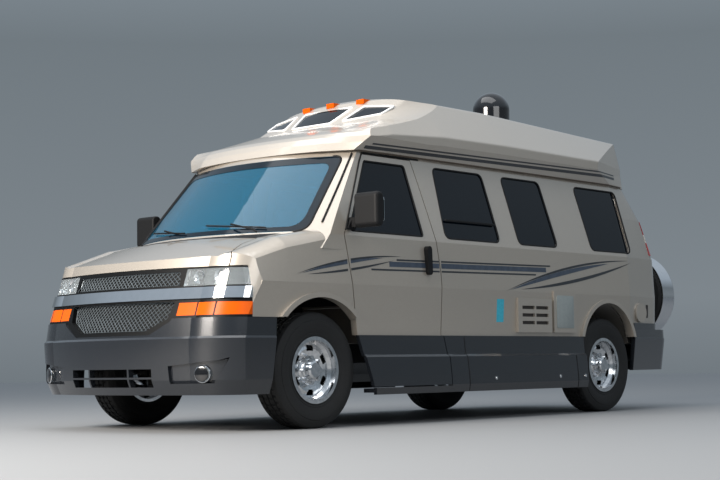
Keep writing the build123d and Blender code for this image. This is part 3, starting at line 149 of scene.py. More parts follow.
# Moulded rubber: dull, near black, with a fine bloom
rubber = finish("tyre_rubber", "#0D0E0F", Roughness=0.75)
mottle(rubber, "#101112", "#0A0B0C", 12)
grain(rubber, 1.2, 0.2)
# Body-tinted float glass: nearly black, its reflection bent in long waves
privacy = finish("privacy_glass", "#030A12", Roughness=0.03, IOR=1.5, Specular_IOR_Level=0.25,
                 Transmission_Weight=0.15)
grain(privacy, 600, 0.4)
# Laminated float glass, tinted: a blue-green gloss with the cab faint behind it
screen = finish("windscreen_glass", "#157396", Roughness=0.02, IOR=1.5,
                Specular_IOR_Level=0.25, Transmission_Weight=0.7)
grain(screen, 700, 0.3)
# Moulded polycarbonate: clear, with a slight wave that bends what lies behind it
clear_lens = finish("clear_lamp_lens", "#DDE6EA", Roughness=0.03, IOR=1.49,
                    Transmission_Weight=0.85)
grain(clear_lens, 120, 0.2)
# Moulded acrylic with prisms on its inner face: an even orange glow
amber = finish("amber_lens", "#C65206", Roughness=0.3, Specular_IOR_Level=0.12)
grain(amber, 5, 0.5)
# A dull black sheet behind the mesh: painted shade that stands in for the dark depth behind the grille
grille_shade_black = finish("grille_backing_painted_shade", "#060708", Roughness=0.5, Specular_IOR_Level=0.15)
grain(grille_shade_black, 1.6, 0.2)
# Expanded metal in satin grey paint: the wires catch a soft light
mesh_grey = finish("satin_mesh_wire", "#5E666B", Metallic=0.5, Roughness=0.4)
mottle(mesh_grey, "#646C71", "#565E63", 30)
# Moulded red acrylic with prisms: a deep red under a clear gloss
red_lens = finish("red_lens", "#B01020", Roughness=0.12, IOR=1.49, Coat_Weight=0.5)
grain(red_lens, 5, 0.5)
# Steel in powder coat: satin black, unevenly dusty
black_steel = finish("black_coated_steel", "#141516", Metallic=0.3, Roughness=0.5)
mottle(black_steel, "#1A1A1A", "#0F1011", 30)
# Sand-cast iron: a rough dark grey
cast_iron = finish("cast_iron", "#2B2A28", Metallic=0.8, Roughness=0.6)
grain(cast_iron, 3, 0.4)
# Cut-pile nylon carpet: no highlight, the tips of the pile catch the light
carpet = finish("cut_pile_carpet", "#4A443B", Roughness=0.95, Sheen_Weight=0.4)
grain(carpet, 3, 1.0)
# Moulded vinyl facing: a mat beige
dash_plastic = finish("dash_plastic", "#8E8879", Roughness=0.6)
grain(dash_plastic, 1.5, 0.2)
# Grained leather: a soft broad highlight
leather = finish("beige_leather", "#8C7E69", Roughness=0.5, Sheen_Weight=0.1)
grain(leather, 2.5, 0.3)
# Cherry veneer under lacquer: a warm brown that wanders with the figure
veneer = finish("cherry_veneer", "#6B3F22", Roughness=0.35, Coat_Weight=0.3)
mottle(veneer, "#7A4A29", "#55301A", 60)

finishes = {
    "body_paint": paint, "roof_shell": gelcoat, "cladding": charcoal, "black_trim": grained,
    "bright_trim": chrome, "wheel_steel": wheel_chrome, "tyre_rubber": rubber,
    "dark_glass": privacy, "screen_glass": screen, "lamp_glass": clear_lens,
    "amber_lens": amber, "red_lens": red_lens, "chassis_steel": black_steel,
    "forged_iron": cast_iron, "floor_steel": carpet, "cab_plastic": dash_plastic,
    "seat_leather": leather, "cabinet_wood": veneer,
}
slot_of = {row["node"]: row["material_slot"] for row in frame["record"]["subparts"]}
for name, shape in nodes.items():
    shape.data.materials.clear()
    shape.data.materials.append(finishes[slot_of[name]])
# Two nodes differ from what their slot says
nodes["roof_dome"].data.materials[0] = gloss_black
# The grille's plate is painted near black as the shade behind the mesh
nodes["grille"].data.materials[0] = grille_shade_black

# Places that the pieces need, in metres, as the CAD has them
# columns: height, half width of the body
SIDE_LEVELS = ((0.610, 0.985), (0.950, 1.006), (1.280, 0.985), (1.620, 0.895), (1.895, 0.822))
# columns: height, x of the tail, half width of the tail
TAIL_LEVELS = ((0.610, -2.504, 0.870), (0.950, -2.509, 0.880), (1.280, -2.504, 0.865),
               (1.620, -2.414, 0.800), (1.895, -2.229, 0.740))
TAIL_CORNER = 0.240             # radius of the rear corners
SILL, HEAD = 1.312, 1.826       # lower and upper edge of the side windows
TYRE_RADIUS = 0.381
SCREEN_FOOT_X, SCREEN_FOOT_Z = 2.208, 1.290
SCREEN_RAKE = 0.942             # run back for each metre up
SCREEN_BOW = 1.5                # radius of the glass from side to side
ROOF_NOSE_Z, ROOF_NOSE_RISE = 2.185, 0.205
# x at the foot of the roof's nose and its run back to the top, in the middle and at the
# shoulder
ROOF_MIDDLE_X, ROOF_MIDDLE_RUN = 1.023, 0.283
ROOF_SHOULDER_X, ROOF_SHOULDER_RUN, ROOF_SHOULDER_Y = 0.955, 0.350, 0.6


def level(rows, z):
    """The values of a table of levels at one height."""
    for low, high in zip(rows, rows[1:]):
        if z <= high[0] or high is rows[-1]:
            share = (z - low[0]) / (high[0] - low[0])
            return [a + share * (b - a) for a, b in zip(low[1:], high[1:])]


def on_side(x, z, proud=0.0, side=1):
    """A point on the body's side, or proud of it."""
    return Vector((x, side * (level(SIDE_LEVELS, z)[0] + proud), z))


def on_tail(y, z, proud=0.0):
    """A point on the rear doors or round the tail's corner, or proud of them."""
    tail, half = level(TAIL_LEVELS, z)
    past = max(abs(y) - (half - TAIL_CORNER), 0)
    return Vector((tail + TAIL_CORNER - (TAIL_CORNER ** 2 - past ** 2) ** 0.5 - proud, y, z))


def on_screen(y, z, proud=0.0):
    """A point on the windscreen, or moved off it by the same length forward and up."""
    bow = SCREEN_BOW - (SCREEN_BOW ** 2 - y ** 2) ** 0.5
    return Vector((SCREEN_FOOT_X - (z - SCREEN_FOOT_Z) * SCREEN_RAKE - bow + proud, y,
                   z + proud))


def on_roof_nose(y, z):
    """A point on the roof's sloping nose."""
    share = (z - ROOF_NOSE_Z) / ROOF_NOSE_RISE
    middle = ROOF_MIDDLE_X - ROOF_MIDDLE_RUN * share
    shoulder = ROOF_SHOULDER_X - ROOF_SHOULDER_RUN * share
    return Vector((middle - (middle - shoulder) * (y / ROOF_SHOULDER_Y) ** 2, y, z))


# Modelling steps that the pieces share
WELD = 1e-5                     # points nearer than this are one


def alone(piece):
    """Selects one piece and nothing else."""
    bpy.ops.object.select_all(action="DESELECT")
    piece.select_set(True)
    bpy.context.view_layer.objects.active = piece


def start(primitive, **where):
    """A new mesh from one of Blender's primitives."""
    bpy.ops.object.select_all(action="DESELECT")
    primitive(**where)
    return bpy.context.object


def edit(piece, *steps):
    """Edit-mode steps on the whole mesh: (operator, settings)."""
    alone(piece)
    bpy.ops.object.mode_set(mode="EDIT")
    for operator, settings in steps:
        bpy.ops.mesh.select_all(action="SELECT")
        operator(**settings)
    bpy.ops.object.mode_set(mode="OBJECT")


def pick(piece, test):
    """Selects the faces whose centre and normal pass the test, and enters edit mode."""
    alone(piece)
    bpy.ops.object.mode_set(mode="EDIT")
    bpy.ops.mesh.select_mode(type="FACE")
    bpy.ops.mesh.select_all(action="DESELECT")
    bpy.ops.object.mode_set(mode="OBJECT")
    for face in piece.data.polygons:
        face.select = test(face.center, face.normal)
    bpy.ops.object.mode_set(mode="EDIT")


def modify(piece, kind, **settings):
    """Adds a modifier and applies it."""
    alone(piece)
    modifier = piece.modifiers.new(kind.lower(), kind)
    for name, value in settings.items():
        setattr(modifier, name, value)
    bpy.ops.object.modifier_apply(modifier=modifier.name)


def settle(piece, name, body, made_of, smooth=35, recalculate=True):
    """A finished piece: its place goes into its mesh, then name, finish and body."""
    alone(piece)
    bpy.ops.object.convert(target="MESH")
    bpy.ops.object.transform_apply(location=True, rotation=True, scale=True)
    steps = [(bpy.ops.mesh.remove_doubles, {"threshold": WELD})]
    if recalculate:
        steps.append((bpy.ops.mesh.normals_make_consistent, {"inside": False}))
    edit(piece, *steps)
    alone(piece)
    bpy.ops.object.shade_smooth_by_angle(angle=radians(smooth))
    piece.name = piece.data.name = name
    piece.data.materials.clear()
    piece.data.materials.append(made_of)
    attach(piece, body)
    return piece


def copied(piece, name, body, move):
    """The same piece again, moved, with a mesh of its own."""
    again = bpy.data.objects.new(name, piece.data.copy())
    bpy.context.scene.collection.objects.link(again)
    again.matrix_world = Matrix.Translation(move)
    return settle(again, name, body, piece.data.materials[0])


def rounded(corners, radius, steps=6):
    """A closed outline with its corners rounded, as points in its own plane."""
    points = []
    for index, corner in enumerate(corners):
        here = Vector(corner)
        before, after = Vector(corners[index - 1]), Vector(corners[(index + 1) % len(corners)])
        into, out = (before - here).normalized(), (after - here).normalized()
        reach = radius / tan(into.angle(out) / 2)
        for step in range(steps + 1):
            t = step / steps
            points.append((1 - t) ** 2 * (here + into * reach) + 2 * t * (1 - t) * here
                          + t ** 2 * (here + out * reach))
    return points


def bead(name, body, points, radius, made_of, closed=True):
    """A round moulding along a line of points."""
    curve = bpy.data.curves.new(name, "CURVE")
    curve.dimensions = "3D"
    curve.bevel_depth, curve.bevel_resolution, curve.use_fill_caps = radius, 2, not closed
    spline = curve.splines.new("POLY")
    spline.points.add(len(points) - 1)
    for point, place in zip(spline.points, points):
        point.co = (*place, 1)
    spline.use_cyclic_u = closed
    made = bpy.data.objects.new(name, curve)
    bpy.context.scene.collection.objects.link(made)
    settle(made, name, body, made_of)


def plate(wide, high, thick, radius, bevel):
    """A flat plate in its own XY plane, its corners rounded and its edges bevelled."""
    x, y = wide / 2, high / 2
    corners = rounded([(-x, -y), (x, -y), (x, y), (-x, y)], radius)
    made = start(bpy.ops.mesh.primitive_circle_add, vertices=len(corners), radius=1,
                 fill_type="NGON")
    for vertex, corner in zip(made.data.vertices, corners):
        vertex.co = (corner.x, corner.y, 0)
    edit(made, (bpy.ops.mesh.extrude_region_move,
                {"TRANSFORM_OT_translate": {"value": (0, 0, thick)}}))
    modify(made, "BEVEL", width=bevel, segments=2, limit_method="ANGLE")
    return made


def slice_of(source, name, axis, low, high, swell):
    """A slice of a CAD node's own skin between two planes, swollen a little."""
    made = bpy.data.objects.new(name, nodes[source].data.copy())
    bpy.context.scene.collection.objects.link(made)
    edit(made, (bpy.ops.mesh.remove_doubles, {"threshold": WELD}))
    for reach, cleared in ((low, "clear_inner"), (high, "clear_outer")):
        edit(made, (bpy.ops.mesh.bisect, {"plane_co": axis * reach, "plane_no": axis,
                                          "use_fill": True, cleared: True}))
    edit(made, (bpy.ops.transform.shrink_fatten, {"value": swell}))
    return made


FILM_START_Y = 1.2              # films start out here, beyond the body's widest point
FILM_LIFT, FILM_THICK = 0.0004, 0.0009


def ribbon(name, body, target, made_of, shape, keep, count=48, side=1):
    """A thin film laid on a node of the vehicle's side, and kept between two x places.
    shape gives (x, low z, high z) for 0 to 1."""
    made = start(bpy.ops.mesh.primitive_grid_add, x_subdivisions=count, y_subdivisions=3, size=1)
    for vertex in made.data.vertices:
        x, low, high = shape(vertex.co.x + 0.5)
        vertex.co = (x, side * FILM_START_Y, low + (vertex.co.y + 0.5) * (high - low))
    for limit, cleared in zip(keep, ("clear_inner", "clear_outer")):
        edit(made, (bpy.ops.mesh.bisect, {"plane_co": (limit, 0, 0), "plane_no": (1, 0, 0),
                                          cleared: True}))
    modify(made, "SHRINKWRAP", target=nodes[target], wrap_method="PROJECT", use_project_y=True,
           use_project_x=False, use_project_z=False, use_negative_direction=True,
           use_positive_direction=True, offset=0.0)
    for vertex in made.data.vertices:
        vertex.co.y += side * FILM_LIFT
    modify(made, "SOLIDIFY", thickness=FILM_THICK, offset=1 if side > 0 else -1)
    settle(made, name, body, made_of)


# Finishes of the films and small trim
# Cast vinyl film in black and slate: the paint's smoothness with a softer gloss
film_black = finish("vinyl_film_black", "#22262B", Roughness=0.35, Coat_Weight=0.4)
mottle(film_black, "#262A30", "#1D2125", 50)
film_slate = finish("vinyl_film_slate", "#414B5A", Metallic=0.3, Roughness=0.35, Coat_Weight=0.4)
mottle(film_slate, "#46505F", "#3B4553", 50)
# Printed vinyl sticker: teal, with no gloss coat
film_teal = finish("vinyl_film_teal", "#38A9C0", Roughness=0.4)
mottle(film_teal, "#3CADC4", "#329EB4", 15)
# White gelcoat of the frames round the roof's panes: bright and smooth
white_gel = finish("white_gelcoat", "#E9EAEA", Roughness=0.3, Coat_Weight=0.3)
mottle(white_gel, "#ECEDED", "#E2E3E4", 40)
# Extruded vinyl gimp: a plain brown line
trim_brown = finish("brown_vinyl_gimp", "#4C4136", Roughness=0.5)
grain(trim_brown, 2.0, 0.2)
# Silvered glass: a clean mirror
mirror_glass = finish("mirror_glass", "#C9D2D6", Metallic=1.0, Roughness=0.02)
grain(mirror_glass, 300, 0.1)


def band(x0, x1, z0, z1, half):
    """A stripe of even height from (x0, z0) to (x1, z1), its ends cut upright."""
    return lambda t: (x0 + t * (x1 - x0), z0 + t * (z1 - z0) - half, z0 + t * (z1 - z0) + half)


def leaf(x0, z0, x1, z1, low_bulge, high_bulge):
    """A pointed leaf from (x0, z0) to (x1, z1) between two bows."""
    def shape(t):
        base, swell = z0 + t * (z1 - z0), 4 * t * (1 - t)
        return (x0 + t * (x1 - x0), base + swell * low_bulge, base + swell * high_bulge)
    return shape


# Stripes: films in one set per body, so each door takes its own share
side_graphics = (
    ("upper_line", film_black, band(1.19, -0.66, 1.131, 1.158, 0.006)),
    ("broad_line", film_slate, band(1.27, -0.60, 1.099, 1.126, 0.018)),
    ("lower_line", film_black, band(1.46, -0.46, 1.056, 1.084, 0.006)),
    ("front_crest", film_black, leaf(2.18, 1.003, 1.13, 1.156, 0.030, 0.044)),
    ("front_blade", film_slate, leaf(2.13, 1.010, 1.33, 1.140, 0.004, 0.026)),
    ("front_keel", film_black, leaf(2.08, 1.004, 1.22, 1.126, -0.022, -0.006)),
    ("rear_crest", film_black, leaf(-0.06, 0.947, -1.82, 1.246, 0.052, 0.070)),
    ("rear_blade", film_slate, leaf(-0.12, 0.958, -1.50, 1.210, 0.004, 0.040)),
    ("rear_keel", film_black, leaf(-0.25, 0.966, -1.86, 1.234, -0.050, -0.024)),
)
# columns: side, body, node, rear and front end of that body's share
side_shares = (
    (1, "body_shell", "front_fenders", 1.698, 2.40),
    (1, "left_cab_door", "left_cab_door", 0.724, 1.664),
    (1, "body_shell", "left_side_panel", -2.30, 0.699),
    (-1, "body_shell", "front_fenders", 1.698, 2.40),
    (-1, "right_cab_door", "right_cab_door", 0.724, 1.664),
    (-1, "body_shell", "right_side_panel", 0.655, 0.699),
    (-1, "side_door_front", "side_door_front", 0.012, 0.643),
    (-1, "side_door_rear", "side_door_rear", -0.533, -0.002),
    (-1, "body_shell", "right_side_panel", -2.30, -0.551),
)
for label, film, shape in side_graphics:
    for side, body, target, x0, x1 in side_shares:
        front, rear = shape(0)[0], shape(1)[0]
        if front <= x0 or rear >= x1:
            continue
        # A name ends with the share's front end, in millimetres from x = -3
        ribbon(f"{label}_{target}_{'left' if side > 0 else 'right'}_{round(x1 * 1000 + 3000)}",
               body, target, film, shape, (x0, x1), side=side)
# columns: height of the roof line's middle in front and behind, half its height
roof_lines = ((1.921, 1.962, 0.010), (1.946, 1.990, 0.005))
for label, side in SIDES:
    for row, (z0, z1, half) in enumerate(roof_lines):
        ribbon(f"roof_line_{label}_{row}", "body_shell", "high_roof", film_black,
               band(1.36 - 0.06 * row, -1.90, z0, z1, half), (-2.0, 1.5), count=200, side=side)
ribbon("side_sticker", "body_shell", "left_side_panel", film_teal,
       band(-0.036, 0.052, 0.80, 0.80, 0.086), (-1, 1), count=6)

# Window rubbers, as beads laid along each opening
RUBBER, RUBBER_SUNK = 0.0065, 0.002     # radius, and how far its middle lies below the skin
# columns: upper front, upper rear, lower front and lower rear corner, as x
coach_corners = ((0.593, 0.005, 0.620, -0.040), (-0.236, -0.742, -0.280, -0.800),
                 (-1.230, -1.857, -1.280, -1.877))
coach_outlines = [
    [(low_front, SILL), (top_front, HEAD + 0.014), (top_rear, HEAD + 0.014), (low_rear, SILL)]
    for top_front, top_rear, low_front, low_rear in coach_corners
]
cab_outline = [(1.652, SILL), (1.372, HEAD - 0.044), (1.344, HEAD), (0.917, HEAD), (0.870, SILL)]
# columns: name, body, outline, corner radius, side
side_windows = [(f"coach_rubber_{i}", "body_shell", row, 0.055, 1)
                for i, row in enumerate(coach_outlines)]
side_windows += [
    ("coach_rubber_right", "body_shell", coach_outlines[2], 0.055, -1),
    ("cab_rubber_left", "left_cab_door", cab_outline, 0.024, 1),
    ("cab_rubber_right", "right_cab_door", cab_outline, 0.024, -1),
    ("side_door_front_rubber", "side_door_front",
     [(0.093, SILL), (0.113, HEAD), (0.558, HEAD), (0.570, SILL)], 0.045, -1),
    ("side_door_rear_rubber", "side_door_rear",
     [(-0.462, SILL), (-0.442, HEAD), (-0.087, HEAD), (-0.079, SILL)], 0.045, -1),
]
for name, body, outline, radius, side in side_windows:
    bead(name, body, [on_side(p.x, p.y, -RUBBER_SUNK, side) for p in rounded(outline, radius)],
         RUBBER, grained)
rear_outline = ((0.095, 1.327), (0.095, 1.816), (0.540, 1.816), (0.625, 1.327))
for label, side in SIDES:
    outline = rounded([(side * y, z) for y, z in rear_outline], 0.045)
    bead(f"rear_rubber_{label}", f"{label}_rear_door",
         [on_tail(p.x, p.y, -RUBBER_SUNK) for p in outline], RUBBER, grained)
bead("windscreen_rubber", "body_shell",
     [on_screen(p.x, p.y) for p in rounded(
         [(0.850, 1.302), (0.762, 1.858), (-0.762, 1.858), (-0.850, 1.302)], 0.064, 8)],
     0.008, grained)
roof_frames = (
    ("roof_frame_middle", ((-0.195, 2.200), (0.195, 2.200), (0.250, 2.340), (-0.250, 2.340))),
    ("roof_frame_left", ((0.295, 2.205), (0.590, 2.240), (0.612, 2.310), (0.350, 2.336))),
    ("roof_frame_right", ((-0.295, 2.205), (-0.590, 2.240), (-0.612, 2.310), (-0.350, 2.336))),
)
for name, outline in roof_frames:
    bead(name, "body_shell", [on_roof_nose(p.x, p.y) for p in rounded(outline, 0.016)], 0.009,
         white_gel)

# Sliding pane's rail across the first coach window
rail = start(bpy.ops.mesh.primitive_cube_add, size=1, location=(0.29, 0.950, 1.448),
             scale=(0.600, 0.010, 0.016))
modify(rail, "BEVEL", width=0.003, segments=2)
settle(rail, "sliding_pane_rail", "body_shell", grained)

# Mouldings: drip channels beside the windscreen and over the doors, and the gimp under the
# roof's lip
# columns: half width, height
screen_drip = ((0.905, 1.36), (0.880, 1.50), (0.850, 1.66), (0.806, 1.872))
# columns: x, height
door_drip = ((1.690, 1.318), (1.560, 1.540), (1.406, 1.804), (1.352, 1.884), (0.74, 1.886))
# columns: x, half width
roof_gimp = ((1.442, 0.832), (1.380, 0.838), (0.5, 0.839), (-0.7, 0.839), (-1.78, 0.839),
             (-2.02, 0.794))
GIMP_Z = 1.899
for label, side in SIDES:
    bead(f"screen_drip_{label}", "body_shell",
         [on_screen(side * y, z, 0.004) for y, z in screen_drip], 0.007, grained,
         closed=False)
    bead(f"door_drip_{label}", "body_shell",
         [on_side(x, z, 0.003, side) for x, z in door_drip], 0.006, grained,
         closed=False)
    bead(f"roof_gimp_{label}", "body_shell",
         [Vector((x, side * y, GIMP_Z)) for x, y in roof_gimp], 0.007, trim_brown,
         closed=False)

# Wipers lie along the foot of the windscreen
PIVOT_X, PIVOT_Z = 2.175, 1.298
for index, (pivot_y, tip_y) in enumerate(((0.62, 0.08), (-0.06, -0.62))):
    pivot = Vector((PIVOT_X, pivot_y, PIVOT_Z))
    middle_y = (pivot_y + tip_y) / 2 - 0.02
    bead(f"wiper_arm_{index}", "body_shell",
         [pivot, pivot + Vector((-0.01, -0.04, 0.022)), on_screen(middle_y, 1.352, 0.022)],
         0.006, grained, closed=False)
    bead(f"wiper_blade_{index}", "body_shell",
         [on_screen(tip_y + (pivot_y - tip_y) * t, 1.325 + 0.045 * (1 - t), 0.010)
          for t in (0.02, 0.2, 0.4, 0.6, 0.8, 0.95)], 0.005, grained,
         closed=False)

# Door mirrors' glass, on the face that looks back
MIRROR_X, MIRROR_Y, MIRROR_Z = 1.586, 1.132, 1.445
for label, side in SIDES:
    face = plate(0.170, 0.200, 0.004, radius=0.026, bevel=0.0012)
    place = Matrix.Translation((MIRROR_X, side * MIRROR_Y, MIRROR_Z))
    face.matrix_world = place @ Matrix.Rotation(radians(-90), 4, "Y")
    alone(face)
    bpy.ops.object.transform_apply(location=False, rotation=True, scale=True)
    settle(face, f"mirror_glass_{label}", f"{label}_cab_door", mirror_glass)

# Headlamp bowls, seen through the lenses
bowl = start(bpy.ops.mesh.primitive_cone_add, vertices=40, radius1=0.046, radius2=0.016,
             depth=0.016, end_fill_type="NOTHING", rotation=(0, radians(-90), 0))
modify(bowl, "SOLIDIFY", thickness=0.0015)
modify(bowl, "BEVEL", width=0.0006, segments=2)
settle(bowl, "headlamp_bowl_form", "body_shell", chrome)
BOWL_Z = 0.979
bowl_places = ((2.700, 0.645), (2.660, 0.800), (2.700, -0.645), (2.660, -0.800))
for index, (x, y) in enumerate(bowl_places):
    copied(bowl, f"headlamp_bowl_{index + 1}", "body_shell", move=(x, y, BOWL_Z))
bpy.data.objects.remove(bowl)

# Grille mesh: a slanting lattice trimmed to each opening, laid on its plate, then made
# into wires
MESH_STEP_Y, MESH_STEP_Z, MESH_COUNT = 0.0355, 0.031, 44
MESH_WIRE, MESH_LIFT = 0.0055, 0.003
MESH_START_X = 3.2              # the lattice starts out here, ahead of the nose
mesh_outlines = (
    ("upper_grille_mesh", ((-0.522, 0.930), (0.522, 0.930), (0.504, 1.017), (-0.504, 1.017))),
    ("lower_grille_mesh", ((-0.328, 0.645), (0.328, 0.645), (0.488, 0.722), (0.518, 0.826),
                           (-0.518, 0.826), (-0.488, 0.722))),
)
for name, corners in mesh_outlines:
    middle = sum(z for _, z in corners) / len(corners)
    lattice = start(bpy.ops.mesh.primitive_grid_add, x_subdivisions=MESH_COUNT,
                    y_subdivisions=MESH_COUNT, size=1)
    for vertex in lattice.data.vertices:
        across, along = vertex.co.x * MESH_COUNT, vertex.co.y * MESH_COUNT
        vertex.co = (MESH_START_X, (across - along) * MESH_STEP_Y / 2,
                     middle + (across + along) * MESH_STEP_Z / 2)
    for (y0, z0), (y1, z1) in zip(corners, corners[1:] + corners[:1]):
        edit(lattice, (bpy.ops.mesh.bisect, {
            "plane_co": (MESH_START_X, y0, z0), "plane_no": (0, z1 - z0, y0 - y1),
            "clear_outer": True}))
    modify(lattice, "SHRINKWRAP", target=nodes["grille"], wrap_method="PROJECT",
           use_project_x=True, use_project_y=False, use_project_z=False,
           use_negative_direction=True, use_positive_direction=False, offset=0.0)
    for vertex in lattice.data.vertices:
        vertex.co.x += MESH_LIFT
    modify(lattice, "WIREFRAME", thickness=MESH_WIRE, use_even_offset=True)
    settle(lattice, name, "body_shell", mesh_grey)

# Ribs that part the amber lenses, cut from the lenses' own skin
rib_reaches = ((0.686, 0.694), (0.826, 0.834))
for index, (low, high) in enumerate(rib_reaches):
    for label, side in SIDES:
        rib = slice_of("amber_lamps", "amber_rib", Vector((0, side, 0)), low, high, 0.001)
        settle(rib, f"amber_rib_{index}_{label}", "body_shell", grained)

# Dark printed border of the windscreen
SCREEN_CUTS, LONG_EDGE = 30, 0.2


def along_screen(outline, radius):
    """An outline with rounded corners and points along its long edges, for the bowed glass."""
    turns = rounded(outline, radius, 8)
    points = []
    for here, after in zip(turns, turns[1:] + turns[:1]):
        cuts = SCREEN_CUTS if (after - here).length > LONG_EDGE else 1
        points += [here.lerp(after, cut / cuts) for cut in range(cuts)]
    return points


rim = along_screen([(0.846, 1.306), (0.758, 1.854), (-0.758, 1.854), (-0.846, 1.306)], 0.062)
inner = along_screen([(0.796, 1.336), (0.718, 1.806), (-0.718, 1.806), (-0.796, 1.336)], 0.075)
border = start(bpy.ops.mesh.primitive_circle_add, vertices=len(rim), radius=1)
for vertex, point in zip(border.data.vertices, rim):
    vertex.co = (point.x, point.y, 0)
edit(border, (bpy.ops.mesh.extrude_region_move, {}))
for vertex, point in zip(border.data.vertices[len(rim):], inner):
    vertex.co = (point.x, point.y, 0)
for vertex in border.data.vertices:
    vertex.co = on_screen(vertex.co.x, vertex.co.y, 0.0015)
modify(border, "SOLIDIFY", thickness=0.0008, offset=1)
# Enamel fired onto the glass: the same gloss, and no light through it
frit = finish("printed_glass_border", "#06111C", Roughness=0.12, Specular_IOR_Level=0.2)
mottle(frit, "#08161F", "#06111C", 40)
settle(border, "windscreen_border", "body_shell", frit)

# Seams of the cladding panels on the driver's side
SEAM_LEAN = 0.03                # run back for each metre down
# columns: half width of the cladding, height
cladding_levels = ((0.9965, 0.600), (1.0035, 0.510), (1.0065, 0.478), (1.0245, 0.462),
                   (1.0365, 0.330), (1.0385, 0.262), (1.0285, 0.212))
for index, (x, top) in enumerate(((0.452, 0.600), (-0.948, 0.470))):
    line = [Vector((x - SEAM_LEAN * (top - z), y, z)) for y, z in cladding_levels
            if z < top + 0.001]
    bead(f"cladding_seam_{index}", "body_shell", line, 0.003, grained,
         closed=False)

# Round locks low on the cladding
lock = start(bpy.ops.mesh.primitive_cylinder_add, vertices=32, radius=0.013, depth=0.005,
             rotation=(radians(90), 0, 0))
modify(lock, "BEVEL", width=0.0012, segments=2, limit_method="ANGLE")
settle(lock, "cladding_lock_form", "body_shell", chrome)
LOCK_Y, LOCK_Z = 1.038, 0.300
for index, x in enumerate((0.125, -0.705, -1.055)):
    copied(lock, f"cladding_lock_{index + 1}", "body_shell",
           move=(x, LOCK_Y, LOCK_Z))
bpy.data.objects.remove(lock)

# Fog lamps: a bright ring round a dark bezel, turned out towards the corner
FOG_RING_X, FOG_BEZEL_X, FOG_Y, FOG_Z = 2.806, 2.817, 0.780, 0.368
FOG_TURN = radians(22)
for label, side in SIDES:
    facing = (0, radians(90), side * FOG_TURN)
    ring = start(bpy.ops.mesh.primitive_torus_add, major_radius=0.050, minor_radius=0.006,
                 major_segments=48, minor_segments=10, rotation=facing,
                 location=(FOG_RING_X, side * FOG_Y, FOG_Z))
    settle(ring, f"fog_ring_{label}", "body_shell", chrome)
    bezel = start(bpy.ops.mesh.primitive_cylinder_add, vertices=48, radius=0.046, depth=0.004,
                  rotation=facing, location=(FOG_BEZEL_X, side * FOG_Y, FOG_Z))
    modify(bezel, "BEVEL", width=0.001, segments=2, limit_method="ANGLE")
    settle(bezel, f"fog_bezel_{label}", "body_shell", gloss_black)

# Tail lamps: a frosted band between the red ones, made from the lamps' own skin
BAND_LOW, BAND_HIGH = 1.432, 1.502
frosted = slice_of("tail_lamps", "tail_lamp_band", Vector((0, 0, 1)), BAND_LOW, BAND_HIGH,
                   0.0015)
# Moulded acrylic, frosted inside: a pale even white
lens_white = finish("frosted_lamp_lens", "#D9D7D2", Roughness=0.15, Coat_Weight=0.5)
grain(lens_white, 6, 0.5)
settle(frosted, "tail_lamp_band", "body_shell", lens_white)

# Hatches on the driver's side: dark louvre slots, the fuel flap's vent and the hookup
# door's inner panel
# Moulded plastic, unpainted: a dull dark brown
louvre_dark = finish("moulded_louvre_plastic", "#2A2521", Roughness=0.6)
grain(louvre_dark, 1.5, 0.2)
# middle of the lowest louvre of the rear column, and the steps to the others
LOUVRE_X, LOUVRE_Z = -0.506, 0.713
LOUVRE_STEP_X, LOUVRE_STEP_Z = 0.180, 0.058
for row in range(3):
    for column in range(2):
        insert = start(bpy.ops.mesh.primitive_cube_add, size=1, scale=(0.158, 0.004, 0.024),
                       location=(LOUVRE_X + LOUVRE_STEP_X * column, 1.0025,
                                 LOUVRE_Z + LOUVRE_STEP_Z * row))
        pick(insert, lambda centre, normal: normal.y > 0.5)
        bpy.ops.mesh.inset(thickness=0.004, depth=-0.002)
        bpy.ops.object.mode_set(mode="OBJECT")
        settle(insert, f"louvre_insert_{row}_{column}", "body_shell", louvre_dark)
ribbon("filler_vent", "body_shell", "left_side_panel", louvre_dark,
       band(-2.145, -2.195, 0.830, 0.830, 0.055), (-2.3, 0), count=6)
# Steel in grey enamel: flat and even beside the metallic paint
panel_grey = finish("hookup_door_enamel", "#8F9695", Metallic=0.3, Roughness=0.4)
mottle(panel_grey, "#919897", "#8C9392", 30)
panel = plate(0.236, 0.256, 0.003, radius=0.018, bevel=0.001)
HOOKUP_AT = (-0.817, 1.0215, 0.802)
panel.matrix_world = Matrix.Translation(HOOKUP_AT) @ Matrix.Rotation(radians(90), 4, "X")
settle(panel, "hookup_inner_panel", "body_shell", panel_grey)

# Tyres: a grooved section turned about the axle, with cross cuts in the tread
TREAD_STEPS, TREAD_HALF, GROOVE_Y = 150, 0.078, 0.046
GROOVE_FLOOR = 0.373            # radius at the bottom of a groove
